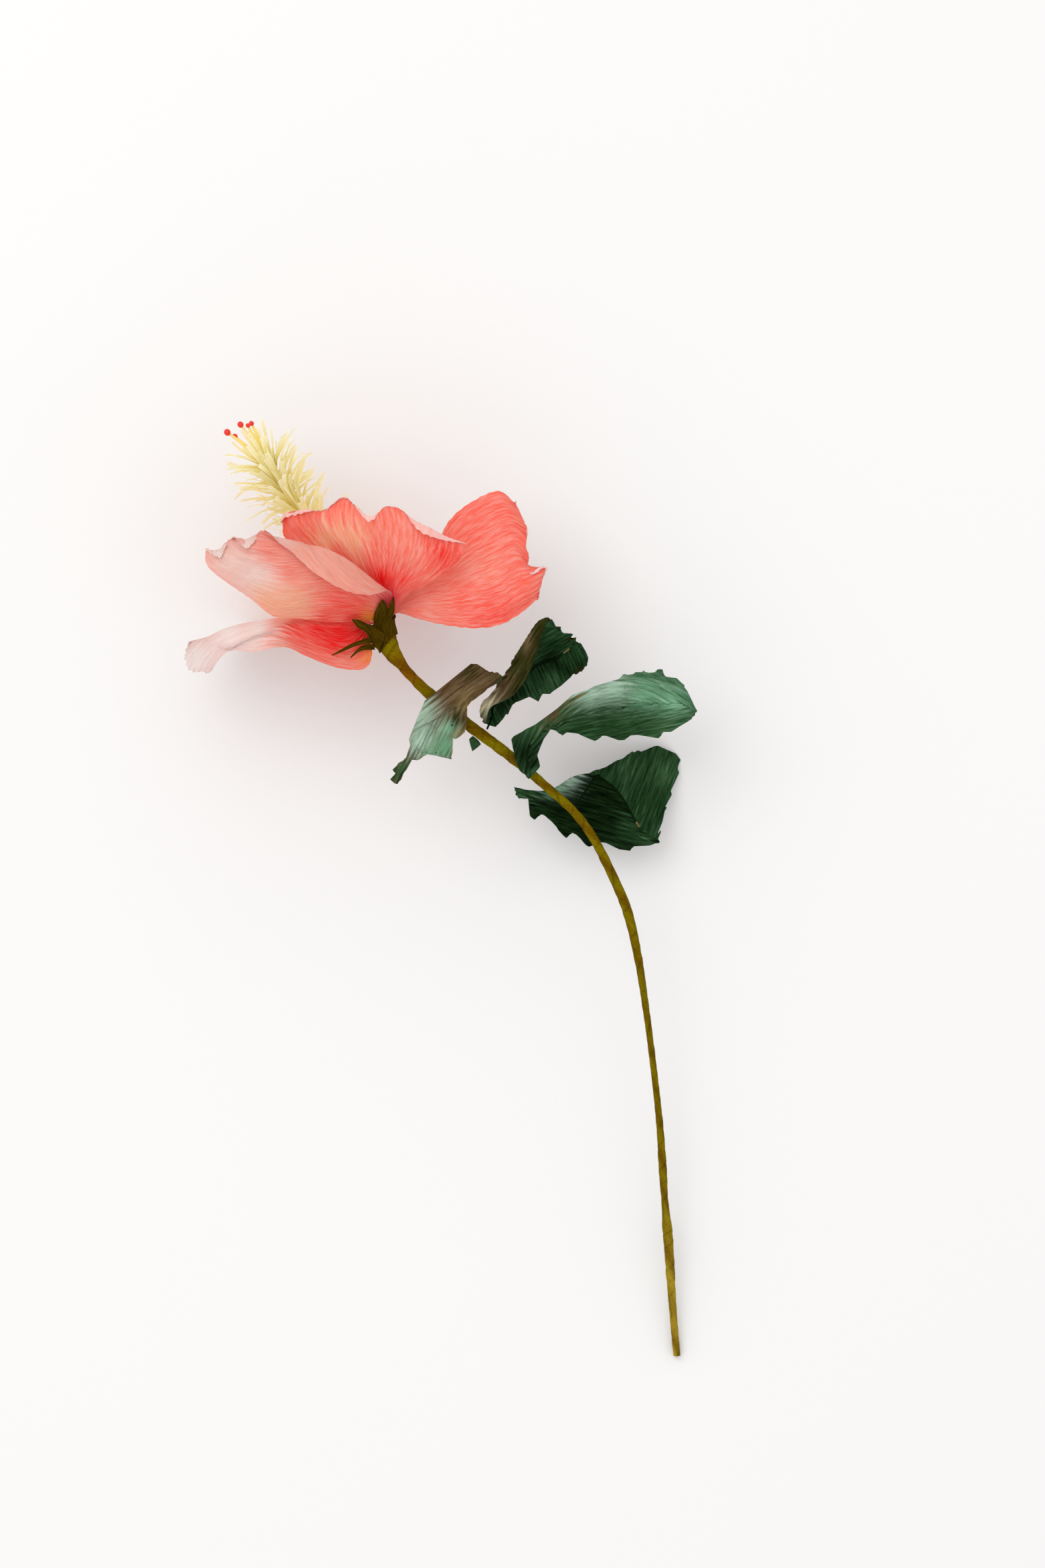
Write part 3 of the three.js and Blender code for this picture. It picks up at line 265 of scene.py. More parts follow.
# Torn side of the collar and the slender strips beside it: ribs of three points
SIDE_SEPAL = [
    (-25.6, 100.9, 69.2, -24, 104, 70.8, -23, 107.4, 70.6),
    (-28.2, 103.4, 69.8, -27, 106, 71.2, -25.2, 109, 71.4),
    (-29.6, 106.4, 71.4, -29, 108.6, 72.6, -28, 110.9, 72.6),
    (-31.6, 108.8, 74, -31.4, 110.5, 74.8, -30.8, 112.1, 74.6),
    (-34.2, 110.4, 76, -34.2, 112, 76.6, -33.6, 113.4, 76.4),
    (-36.4, 113.2, 77.5, -36.6, 113.5, 77.8, -36.3, 113.9, 77.6),
]
BRACT_1 = [
    (-26.9, 105.6, 68.6, -26.9, 104.4, 68.6, -27, 103.2, 68.6),
    (-30, 106.1, 73.2, -30.1, 105, 73.4, -30.2, 103.9, 73),
    (-35, 104.4, 75.4, -35.2, 103.4, 76, -35.4, 102.4, 75.4),
    (-40.4, 101.6, 76.8, -40.6, 100.9, 77, -40.8, 100.2, 76.8),
    (-45.2, 98.9, 76.8, -45.2, 98.7, 76.9, -45.2, 98.5, 76.8),
]
BRACT_2 = [
    (-27.1, 103.3, 68.4, -27.3, 102.2, 68.4, -27.4, 101.1, 68.4),
    (-29.8, 103.4, 72.2, -30, 102.3, 72.6, -30.2, 101.2, 72.2),
    (-33.2, 102.4, 74.6, -33.6, 101.3, 75.2, -33.8, 100.2, 74.6),
    (-36.9, 98.2, 75.6, -37.2, 97.8, 75.8, -37.4, 97.5, 75.6),
]
# Other sepals: angle round the flower, half width, tip
SEPALS = [
    (100, 3, (-24, 121.9, 79)),
    (60, 1.5, (-19.3, 123.2, 80.5)),
    (234, 2, (-30.5, 111.5, 55.5)),
    (305, 2, (-19.8, 117, 54.5)),
]

# Stigmas: bead centre, bead radius, thread root beside and before the top of the column
STIGMAS = [
    ((-89.3, 192.5, 60), 1.4, (-1.3, 0.7)),
    ((-86.2, 190.8, 56), 1.2, (-1.1, -0.8)),
    ((-83.8, 195.8, 58), 1.3, (0, 0)),
    ((-80.6, 195.3, 62.5), 0.95, (0.5, 1.4)),
    ((-79.2, 196.3, 58), 1.05, (1.4, -0.1)),
]


def spline(points, count):
    """A smooth line, or a stack of lines, through points and sampled count times along the first axis."""
    points = np.asarray(points, float)
    padded = np.concatenate([2 * points[:1] - points[1:2], points, 2 * points[-1:] - points[-2:-1]])
    place = np.linspace(0, len(points) - 1, count)
    left = np.minimum(place.astype(int), len(points) - 2)
    t = (place - left).reshape(-1, *[1] * (points.ndim - 1))
    a, b, c, d = (padded[left + k] for k in range(4))
    cubic = (3 * b - a - 3 * c + d) * t**3 + (2 * a - 5 * b + 4 * c - d) * t**2
    return 0.5 * (cubic + (c - a) * t + 2 * b)


def surface(ribs, rows, columns, creases=()):
    """Points of a surface through the ribs, rows from root to tip and columns across, creased at some points."""
    ribs = np.array([np.reshape(r, (-1, 3)) for r in ribs], float).swapaxes(0, 1)
    ends = [0, *creases, len(ribs) - 1]
    strips = []
    for first, last in zip(ends, ends[1:]):
        count = round(columns * (last - first) / (len(ribs) - 1))
        strips.append(spline(ribs[first : last + 1], count)[min(first, 1) :])
    return spline(np.concatenate(strips).swapaxes(0, 1), rows)


def round_axis(level, radius, degrees):
    """A point round the flower axis; angles run from the right towards the front."""
    angle = math.radians(degrees)
    return BASE + AXIS * level + radius * (RIGHT * math.cos(angle) + FRONT * math.sin(angle))


def with_claw(ribs, middle, turn):
    """The narrow glued root of a petal, put before its free ribs."""
    points = len(ribs[0]) // 3
    spread = turn * CLAW_HALF_ANGLE * np.linspace(1, -1, points)
    claws = [
        np.concatenate([round_axis(level, CLAW_RADIUS, middle + s) for s in spread]) for level in CLAW_LEVELS
    ]
    return claws + list(ribs)


def ripple(p, q, length, width, seed, waves=7):
    """Irregular waves about 1 high, long along p and narrow across q."""
    rng = np.random.default_rng(seed)
    total = np.zeros_like(p)
    for _ in range(waves):
        along = rng.uniform(-1, 1) / length
        across = rng.uniform(0.6, 1.5) / width
        total += np.sin(2 * math.pi * (p * along + q * across) + rng.uniform(0, 2 * math.pi))
    return total / math.sqrt(waves)


def normals(grid):
    normal = np.cross(np.gradient(grid, axis=0), np.gradient(grid, axis=1))
    return normal / np.maximum(np.linalg.norm(normal, axis=2, keepdims=True), 1e-9)


def arc_lengths(grid):
    """Lengths along each column and across each row of a grid."""
    along = np.linalg.norm(np.diff(grid, axis=0), axis=2)
    across = np.linalg.norm(np.diff(grid, axis=1), axis=2)
    p = np.concatenate([np.zeros((1, grid.shape[1])), np.cumsum(along, axis=0)])
    q = np.concatenate([np.zeros((grid.shape[0], 1)), np.cumsum(across, axis=1)], axis=1)
    return p, q


def trim(grid, low, high):
    """Cuts each row of a grid back by low at its first end and by high at its last, in millimetres."""
    q = arc_lengths(grid)[1]
    cut = np.empty_like(grid)
    for i, row in enumerate(grid):
        places = np.linspace(low[i], q[i, -1] - high[i], grid.shape[1])
        for axis in range(3):
            cut[i, :, axis] = np.interp(places, q[i], row[:, axis])
    return cut


def to_outline(grid, outline):
    """Ends each row of a grid on an outline of x, y pairs, cutting it back or stretching it a little."""
    corner = np.reshape(outline, (-1, 2))
    side = np.diff(corner, axis=0)
    q = arc_lengths(grid)[1]
    ended = grid.copy()
    for i, row in enumerate(grid):
        way = row[-1] - row[-4]
        path = np.concatenate([row, [row[-1] + way / np.linalg.norm(way) * STRETCH]])
        run = np.append(q[i], q[i, -1] + STRETCH)
        step = np.diff(path[:, :2], axis=0)[:, None]
        gap = corner[None, :-1] - path[:-1, None, :2]
        turn = step[..., 0] * side[:, 1] - step[..., 1] * side[:, 0]
        turn = np.where(np.abs(turn) < 1e-9, 1e-9, turn)
        on_row = (gap[..., 0] * side[:, 1] - gap[..., 1] * side[:, 0]) / turn
        on_side = (gap[..., 0] * step[..., 1] - gap[..., 1] * step[..., 0]) / turn
        met = (on_row >= 0) & (on_row <= 1) & (on_side >= 0) & (on_side <= 1)
        if met.any():
            places = (run[:-1, None] + on_row * np.diff(run)[:, None])[met]
            places = np.linspace(0, places[np.argmin(np.abs(places - q[i, -1]))], len(row))
            ended[i] = np.stack([np.interp(places, run, path[:, axis]) for axis in range(3)], -1)
    return ended


def brushed(grid, p, q, seed):
    """Places at which a grid's paint is looked up, so that painted areas end in streaks along the sheet."""
    lengthwise = np.gradient(grid, axis=0)
    lengthwise /= np.maximum(np.linalg.norm(lengthwise, axis=2, keepdims=True), 1e-9)
    return (grid + lengthwise * (BRUSH_REACH * ripple(p, q, 30, 2.4, seed))[..., None]).reshape(-1, 3)


def ragged(count, pitch, depth, seed):
    """Depths of the small irregular nicks along a cut edge."""
    place = np.arange(count) / pitch
    return depth * (0.5 + 0.5 * ripple(place, place, 3, 1, seed).clip(-1, 1))


def sheet(grid, thickness):
    """Points and faces of a sheet of even thickness on a grid: the normal side first, then the other side."""
    rows, columns = grid.shape[:2]
    lift = normals(grid) * thickness / 2
    points = np.concatenate([(grid + lift).reshape(-1, 3), (grid - lift).reshape(-1, 3)])
    number = np.arange(rows * columns).reshape(rows, columns)
    a, b, c, d = number[:-1, :-1], number[1:, :-1], number[1:, 1:], number[:-1, 1:]
    upper = np.stack([a, b, c, d], -1).reshape(-1, 4)
    lower = np.stack([a, d, c, b], -1).reshape(-1, 4) + rows * columns
    ring = np.concatenate([number[0, :-1], number[:-1, -1], number[-1, :0:-1], number[:0:-1, 0]])
    after = np.roll(ring, -1)
    rim = np.stack([ring, after, after + rows * columns, ring + rows * columns], -1)
    return points, np.concatenate([upper, lower, rim])


def tube(path, radii, sides):
    """Points and faces of a round bar along a path, closed at both ends."""
    path = np.asarray(path, float)
    radii = np.atleast_1d(radii)
    radii = np.broadcast_to(radii[:, None] if radii.ndim == 1 else radii, (len(path), sides))
    tangent = np.gradient(path, axis=0)
    tangent /= np.linalg.norm(tangent, axis=1, keepdims=True)
    side = np.cross(tangent, (0, 0, 1))
    side /= np.linalg.norm(side, axis=1, keepdims=True)
    rise = np.cross(side, tangent)
    angle = np.linspace(0, 2 * math.pi, sides, endpoint=False)
    spokes = side[:, None] * np.cos(angle)[:, None] + rise[:, None] * np.sin(angle)[:, None]
    points = (path[:, None] + spokes * radii[:, :, None]).reshape(-1, 3)
    number = np.arange(len(points)).reshape(len(path), sides)
    a, b = number[:-1], np.roll(number, -1, 1)[:-1]
    c, d = np.roll(number, -1, 1)[1:], number[1:]
    faces = np.stack([a, b, c, d], -1).reshape(-1, 4).tolist()
    return points, faces + [number[0, ::-1].tolist(), number[-1].tolist()]


def linear(shade):
    """Display colour of 0 to 255 as linear light."""
    value = np.array(shade) / 255
    return np.where(value <= 0.04045, value / 12.92, ((value + 0.055) / 1.055) ** 2.4)


def paint(points, base, spots=()):
    """A colour for each point: base, with soft spots given as x, y, reach, colour."""
    colour = np.tile(linear(base), (len(points), 1))
    for x, y, reach, shade in spots:
        near = ((points[:, 0] - x) ** 2 + (points[:, 1] - y) ** 2) / reach**2
        colour += (linear(shade) - colour) * np.exp(-near)[:, None]
    return colour


def make(name, points, faces, grain, tint, material, slot):
    """A mesh piece with its paper grain and its colours, riding on the object and standing for its CAD node."""
    mesh = bpy.data.meshes.new(name)
    mesh.from_pydata((np.asarray(points) * MM).tolist(), [], [list(f) for f in faces])
    corners = np.empty(len(mesh.loops), np.int32)
    mesh.loops.foreach_get("vertex_index", corners)
    layer = mesh.uv_layers.new(name="grain")
    layer.data.foreach_set("uv", np.asarray(grain)[corners].astype(np.float32).ravel())
    colours = mesh.color_attributes.new("tint", "FLOAT_COLOR", "POINT")
    colours.data.foreach_set("color", np.c_[tint, np.ones(len(tint))].astype(np.float32).ravel())
    mesh.polygons.foreach_set("use_smooth", np.ones(len(mesh.polygons), bool))
    mesh.set_sharp_from_angle(angle=math.radians(SHARP_EDGE))
    mesh.materials.append(material)
    piece = bpy.data.objects.new(name + "_look", mesh)
    bpy.context.scene.collection.objects.link(piece)
    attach(piece, "root")
    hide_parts(name)
    return piece


def join(*parts):
    """Several (points, faces, grain, tint) as one."""
    points, faces, grain, tint = [], [], [], []
    for p, f, g, t in parts:
        start = sum(len(x) for x in points)
        faces += [[v + start for v in face] for face in f]
        points.append(p)
        grain.append(g)
        tint.append(t)
    return np.concatenate(points), faces, np.concatenate(grain), np.concatenate(tint)


def crinkle(p, q, shape, seed):
    """Heights of a crinkle; the shape is its height, its length along the grain and its width across it."""
    height, along, across = shape
    return height * ripple(p, q, along, across, seed)


def paper(name, pale, deep, streak, fibre, relief, through=0.0):
    """Matte crepe paper: the piece's tint, with paler streaks and deeper fibres along the grain in relief.

    Pale and deep are a gamma on the tint and its share; streak and fibre are their numbers per millimetre.
    """
    material = bpy.data.materials.new(name)
    material.use_nodes = True
    nodes, links = material.node_tree.nodes, material.node_tree.links
    shader = nodes["Principled BSDF"]
    shader.inputs["Roughness"].default_value = PAPER_ROUGHNESS
    shader.inputs["Specular IOR Level"].default_value = PAPER_SHEEN
    tint = nodes.new("ShaderNodeAttribute")
    tint.attribute_name = "tint"
    grain = nodes.new("ShaderNodeUVMap")
    grain.uv_map = "grain"

    def threads(scale, low, high):
        stretch = nodes.new("ShaderNodeMapping")
        stretch.inputs["Scale"].default_value = (*scale, 1)
        links.new(grain.outputs["UV"], stretch.inputs["Vector"])
        noise = nodes.new("ShaderNodeTexNoise")
        noise.noise_dimensions = "2D"
        noise.inputs["Scale"].default_value = 1
        noise.inputs["Detail"].default_value = 4
        noise.inputs["Roughness"].default_value = 0.6
        links.new(stretch.outputs["Vector"], noise.inputs["Vector"])
        spread = nodes.new("ShaderNodeMapRange")
        spread.inputs["From Min"].default_value = low
        spread.inputs["From Max"].default_value = high
        links.new(noise.outputs["Fac"], spread.inputs["Value"])
        return spread.outputs["Result"]

    def scaled(value, share, offset=0.0):
        step = nodes.new("ShaderNodeMath")
        step.operation = "MULTIPLY_ADD"
        step.inputs[1].default_value = share
        step.inputs[2].default_value = offset
        links.new(value, step.inputs[0])
        return step.outputs["Value"]

    streaks, fibres = threads(streak, 0.36, 0.68), threads(fibre, 0.3, 0.7)
    shade = tint.outputs["Color"]
    for pattern, (gamma, share) in ((streaks, pale), (fibres, deep)):
        changed = nodes.new("ShaderNodeGamma")
        changed.inputs["Gamma"].default_value = gamma
        links.new(shade, changed.inputs["Color"])
        mixed = nodes.new("ShaderNodeMix")
        mixed.data_type = "RGBA"
        links.new(scaled(pattern, share), mixed.inputs["Factor"])
        links.new(shade, mixed.inputs[6])
        links.new(changed.outputs["Color"], mixed.inputs[7])
        shade = mixed.outputs[2]
    links.new(shade, shader.inputs["Base Color"])
    height = nodes.new("ShaderNodeMath")
    height.operation = "ADD"
    links.new(streaks, height.inputs[0])
    links.new(fibres, height.inputs[1])
    bump = nodes.new("ShaderNodeBump")
    bump.inputs["Strength"].default_value = 0.7
    bump.inputs["Distance"].default_value = relief * MM
    links.new(height.outputs["Value"], bump.inputs["Height"])
    links.new(bump.outputs["Normal"], shader.inputs["Normal"])
    if through:
        back = nodes.new("ShaderNodeBsdfTranslucent")
        links.new(shade, back.inputs["Color"])
        links.new(bump.outputs["Normal"], back.inputs["Normal"])
        mix = nodes.new("ShaderNodeMixShader")
        mix.inputs["Fac"].default_value = through
        links.new(shader.outputs["BSDF"], mix.inputs[1])
        links.new(back.outputs["BSDF"], mix.inputs[2])
        links.new(mix.outputs["Shader"], nodes["Material Output"].inputs["Surface"])
    return material


def plain(name, shade, roughness, metallic=0.0):
    material = bpy.data.materials.new(name)
    material.use_nodes = True
    shader = material.node_tree.nodes["Principled BSDF"]
    shader.inputs["Base Color"].default_value = (*linear(shade), 1)
    shader.inputs["Roughness"].default_value = roughness
    shader.inputs["Metallic"].default_value = metallic
    return material


SHARP_EDGE = 55
PAPER_ROUGHNESS = 0.85
PAPER_SHEEN = 0.02
PETAL_PAPER = paper("petal_paper", (0.45, 0.7), (1.7, 0.75), (0.1, 1.1), (0.16, 2.4), 0.2, through=0.38)
LEAF_PAPER = paper("leaf_paper", (0.7, 0.75), (1.6, 0.9), (0.07, 0.75), (0.12, 1.5), 0.6)
STEM_PAPER = paper("stem_paper", (0.75, 0.5), (1.5, 0.7), (0.25, 0.5), (0.8, 1.6), 0.3)
COLLAR_PAPER = paper("collar_paper", (0.75, 0.6), (1.5, 0.8), (0.2, 0.9), (0.4, 1.8), 0.4)
FRINGE_PAPER = paper("fringe_paper", (0.6, 0.5), (1.2, 0.3), (0.2, 1.4), (0.4, 4), 0.06, through=0.85)
BEAD_PAINT = plain("bead_paint", (222, 36, 6), 0.35)
STEEL = plain("steel", (120, 122, 124), 0.4, 1.0)

# Paints of the petals
TIP_WHITE = (255, 250, 248)
BLUSH = (255, 240, 232)
SHELL = (255, 222, 212)
ROSE = (255, 194, 174)
# Peach: painted glow of light shining through the petals
PEACH_PAINTED_GLOW = (255, 200, 164)
SALMON = (255, 156, 136)
CORAL = (255, 134, 116)
DEEP_CORAL = (255, 106, 92)
RED_CORAL = (250, 78, 66)
SCARLET = (255, 26, 24)
CRIMSON = (250, 10, 16)
MAGENTA = (250, 26, 76)
ORANGE = (255, 158, 16)
BRUSH_REACH = 3

# Petals: painted areas are x, y, reach, paint; the outer face is painted apart from the inside
PETALS = {
    "petal_1": {
        "ribs": PETAL_1[:-1] + PETAL_1_RIM, "angle": 126, "turn": 1, "size": (130, 150),
        "outer": -1, "skew": 24,
        "base": SALMON,
        "spots": [
            # Shell and blush spots on the left: painted highlight where strong light falls on the petal
            (-89, 138, 12, SHELL), (-75, 131, 12, BLUSH), (-69, 129, 5, BLUSH),
            # Peach spots: painted glow of light shining through the middle of the petal
            (-61, 121, 9, PEACH_PAINTED_GLOW), (-71, 122, 6, PEACH_PAINTED_GLOW),
            # The two salmon spots are painted shadow under the rolled-over flap
            (-72, 142, 5, SALMON), (-63, 134, 6, SALMON), (-42, 120, 8, DEEP_CORAL),
            (-48, 114, 4, RED_CORAL),
            (-33, 119, 6, DEEP_CORAL), (-36, 114, 3, CRIMSON), (-29, 114, 4, ORANGE),
            (-22, 122, 3, MAGENTA),
        ],
        "inside_base": ROSE, "inside": [(-68, 147, 6, SHELL), (-82, 146, 8, BLUSH),
        (-93, 141, 7, BLUSH)],
    },
    "petal_2": {
        "ribs": PETAL_2[:-1] + PETAL_2_RIM, "angle": 54, "turn": 1, "size": (120, 170), "outer": -1,
        "skew": 0,
        "base": CORAL,
        "spots": [
            # Peach spots: painted glow of light shining through the middle of the petal
            (-37, 146, 9, PEACH_PAINTED_GLOW), (-47, 147, 7, PEACH_PAINTED_GLOW), (-42, 141, 4, CORAL), (-18, 150, 9, SALMON),
            # The red coral spot on the right is painted shadow where this petal meets the next one
            (-10, 139, 7, SALMON), (2, 141, 7, RED_CORAL), (-25, 137, 7, CORAL),
            (-14, 130, 5, DEEP_CORAL),
            (-24, 130, 6, SCARLET), (-21, 122, 4, MAGENTA),
        ],
        "inside_base": SHELL, "inside": [(-23, 128, 9, RED_CORAL)],
    },
    "petal_3": {
        "ribs": PETAL_3[:-1] + PETAL_3_RIM, "angle": -18, "turn": 1, "size": (120, 140), "outer": 1,
        "skew": 0,
        "base": CORAL, "spots": [(20, 136, 9, SALMON), (23, 116, 9, DEEP_CORAL), (-5, 118, 9, SALMON)],
        "inside_base": SHELL, "inside": [(40, 136, 5, TIP_WHITE), (-12, 122, 10, RED_CORAL)],
    },
    "petal_4": {
        "ribs": PETAL_4, "angle": 198, "turn": -1, "size": (150, 120), "outer": -1, "skew": 0,
        "base": CORAL,
        "spots": [
            # The white spots along the tip and upper band are the paler tip, painted whiter with highlight where
            # the light falls on it
            (-78, 103, 8, SHELL), (-67, 104, 5, ROSE), (-103, 97, 18, TIP_WHITE),
            (-88, 108, 9, TIP_WHITE),
            (-76, 111, 6, TIP_WHITE), (-66, 113, 3.5, ROSE), (-36, 95.5, 5, SALMON),
            (-61, 109, 4, RED_CORAL),
            # The crimson band is the petal's red colouring, darkened with painted shade on its face that turns
            # down
            (-51, 109, 5.5, CRIMSON), (-41, 108, 6.5, CRIMSON), (-33, 107, 5, CRIMSON),
            (-44, 104, 4, SCARLET),
            (-31, 101, 2.5, RED_CORAL), (-28, 99, 4, ORANGE),
        ],
        "inside_base": SHELL, "inside": [(-34, 110, 10, SCARLET)],
    },
    "petal_5": {
        "ribs": PETAL_5, "angle": 270, "turn": -1, "size": (90, 90), "outer": 1, "skew": 0,
        "base": CORAL, "spots": [(-24, 122, 10, SCARLET)], "inside_base": SHELL,
        "inside": [(-24, 122, 10, SCARLET)],
    },
}

# Petals
PETAL_CRINKLE = (0.08, 22, 1.8)
PETAL_SWELL = (0.45, 60, 11)
for number, (name, petal) in enumerate(PETALS.items()):
    rows, columns = petal["size"]
    grid = surface(with_claw(petal["ribs"], petal["angle"], petal["turn"]), rows, columns)
    grid = trim(grid, ragged(rows, 5, 0.35, 10 + number), ragged(rows, 5, 0.35, 20 + number))
    grid = trim(grid.swapaxes(0, 1), np.zeros(columns), ragged(columns, 7, 0.7, 50 + number)).swapaxes(0, 1)
    p, q = arc_lengths(grid)
    width = q[rows // 2, -1]
    fan = np.broadcast_to(np.linspace(0, width, columns), (rows, columns))
    grain = np.stack([p, fan + p * math.tan(math.radians(petal["skew"]))], -1)
    free = np.linspace(0, 1, rows)[:, None] ** 1.5
    wave = crinkle(grain[..., 0], grain[..., 1], PETAL_CRINKLE, 30 + number)
    wave += crinkle(grain[..., 0], grain[..., 1], PETAL_SWELL, 40 + number)
    grid = grid + normals(grid) * (wave * free)[..., None]
    grid[..., 2] = np.maximum(grid[..., 2], PETAL_THICKNESS / 2)
    points, faces = sheet(grid, PETAL_THICKNESS)
    flat = brushed(grid, grain[..., 0], grain[..., 1], 60 + number)
    outside = paint(flat, petal["base"], petal["spots"])
    inside = paint(flat, petal["inside_base"], petal["inside"])
    tint = np.concatenate([outside, inside] if petal["outer"] > 0 else [inside, outside])
    grains = grain.reshape(-1, 2)
    make(name, points, faces, np.concatenate([grains, grains + 40]), tint, PETAL_PAPER, "petal_paper")

# Cut and torn outlines of the leaf margins as x, y in turn, from root to tip
LEAF_A_UPPER = (
    27, 90.2, 25.5, 91.6, 24, 91.7, 22.8, 91.4, 22, 91.8, 20.5, 91.9, 19, 92.8, 15.6, 95.1,
    14.5, 95, 13.2, 95.2, 8, 91, 0, 84.5, -5, 80.8, -6.3, 79.5, -10, 71, -12.8, 63.5, -12.2, 61,
    -13.2, 58.5, -14, 56, -15.5, 54.3, -17.2, 53.6, -18, 52.3, -19.9, 50.6, -18.7, 50, -18.5, 49.2,
    -20.6, 46.8, -19.5, 46.3, -19.8, 44.8,
)
LEAF_A_LOWER = (
    26, 89, 25.2, 87.6, 20, 85, 18, 83, 13, 79.2, 11.3, 77.3, 11.5, 75.6, 11, 70, 10.4, 66.6,
    8.6, 65, 6.6, 63.7, 5.4, 64.4, 5.2, 57.6, 4.7, 56, 5.4, 55.1, 0, 56.5, -5, 57.5, -7, 56.5,
    -8.5, 55.2, -9.8, 54.8, -11.5, 55.5, -14, 50.8, -15.4, 49.2, -16.3, 46.6, -17.2, 46, -18, 44.7,
    -19, 45.2,
)
LEAF_B_LOWER = (
    22.5, 68, 24.5, 70, 26.5, 72.3, 27.8, 74.4, 28.4, 73.8, 29, 75.2, 30.3, 78, 31.8, 79.2, 34, 80,
    37.6, 81.6, 40.2, 80.2, 41.4, 79.4, 42.2, 81.2, 43.2, 82.8, 46.2, 82.7, 47.3, 83.7, 51, 86.3,
    54.8, 89.7, 56, 91.2, 57.3, 91.6,
)
LEAF_B_END = (
    57, 91.4, 58.5, 92.6, 60.3, 93.6, 61.5, 93.1, 60.9, 94, 61.9, 94.6, 62.3, 98, 61.3, 100.5,
    59, 104.4, 57.2, 103.7, 57, 104.8, 57.4, 106.9, 54.4, 105.2, 54.6, 106.3, 56.2, 107.9,
    53.5, 108.2, 51.5, 108.1, 50.9, 109.5, 50.6, 111.2, 49.5, 110.5, 48.6, 110.9, 47, 114.3,
    45.8, 113, 44.5, 112.6, 43.8, 113.2, 43.4, 114.8, 42.4, 114, 42.2, 112.6,
)
LEAF_C_UPPER = (
    34.5, 49, 33.6, 50.2, 31.5, 56, 30, 63.5, 30.8, 64.6, 36, 67.6, 40, 69.5, 49.5, 76.5, 55.5, 82,
    59, 83.3, 62, 84.2, 65, 85.8, 71, 87.6, 75, 88.7, 76.5, 90, 77.2, 91, 79, 90.5, 81, 90.8,
    82.2, 91.7, 85, 91.8, 85.6, 92.8, 86, 91.9, 88, 91.5, 90.5, 91.7, 91.3, 92.9, 93.5, 93,
    94.2, 91, 94.8, 89.9, 99.5, 89.3, 101.7, 87.2, 102.8, 86.8, 101.9, 86.4, 104, 83.8, 105, 81.5,
    106.2, 79.2, 106.6, 78.3, 107.1, 76.8, 108.1, 75.2,
)
LEAF_C_LOWER = (
    38, 46.4, 40, 49, 42, 52, 41.6, 54, 40.8, 57, 42, 60, 43.5, 63.8, 46.5, 67.8, 48.5, 67.3,
    50, 66.2, 51.7, 65.3, 53.3, 66.6, 58, 66.1, 60, 65.1, 65.1, 62.9, 66.6, 63.7, 68.3, 65.2,
    70, 65.1, 75, 63.2, 77.5, 63.3, 80.3, 65.3, 83, 65.5, 91.9, 64.1, 92.8, 65, 93.8, 66.7,
    97.2, 66.8, 101, 69.3, 106, 72.2, 106.6, 72.8, 108.1, 75.2,
)
LEAF_D_NEAR_LOWER = (
    31.2, 43.4, 31.3, 41.8, 32.2, 39.8, 33.3, 38.8, 37.6, 38.6, 37.9, 31.4, 39.8, 29.8, 41.2, 31.2,
    42.7, 32.1, 43.8, 31.8, 47, 29.2, 49, 27, 50.3, 24.9, 53.2, 21.9, 54.6, 23.3, 55.8, 24.3,
    57.5, 23.5, 59.5, 21.5, 61.3, 19.2, 62.8, 18.3, 64.3, 18.9, 65.6, 20.6, 70, 20, 75.5, 17.3,
    80.2, 16.6, 81, 17.8, 82, 18.6, 88, 18.9, 93, 20.2,
)
LEAF_D_FAR_OUTER = (
    63.5, 50, 67, 50.7, 70, 51.9, 72.5, 53.3, 74.7, 54.8, 77, 55.4, 79, 56.9, 81.2, 58.5, 82, 58,
    83.5, 58.9, 85, 58.4, 90.5, 60.8, 92, 61, 94, 60.1, 99.7, 57.6, 101.7, 55, 100.8, 53,
    100.4, 51.4, 101.1, 49.6, 98.7, 44.5, 97.4, 41.8, 97.9, 40.4, 95.1, 35.3, 95.9, 34.6,
    94.9, 33.8, 93.8, 29, 92, 24.5, 92, 23, 91.1, 21.4,
)

# Paints of the leaves
# Sage: painted highlight on pale green paper where the light falls
SAGE_PAINTED_HIGHLIGHT = (172, 200, 178)
GREY_GREEN = (126, 174, 140)
FERN = (54, 90, 54)
MOSS = (32, 64, 32)
DEEP_MOSS = (11, 30, 7)
UMBER = (102, 80, 52)
DARK_UMBER = (50, 50, 16)
TAN = (146, 124, 78)
BEIGE = (184, 174, 144)

ARCH_CENTRE = (76, 45)
ARCH_RADIUS = 35
NECK_END = (46, 67)
NECK_SLANT = 48
LOWER_SLANT = 11


def slanted(x, y, degrees):
    """Grain at an angle: lengths along it and across it."""
    angle = np.radians(degrees)
    return x * np.cos(angle) + y * np.sin(angle), y * np.cos(angle) - x * np.sin(angle)


def arched(share, x, y):
    """Grain of the broad leaf: arcs over its upper half, straight on its lower half and along its neck."""
    over, up = x - ARCH_CENTRE[0], y - ARCH_CENTRE[1]
    radius = np.hypot(over, up)
    straight = slanted(x, y, np.where((x < NECK_END[0]) & (y < NECK_END[1]), NECK_SLANT, LOWER_SLANT))
    arcs = ARCH_RADIUS * np.arctan2(over, up), radius
    return [np.where(share < 0.5, arc, line) for arc, line in zip(arcs, straight)]


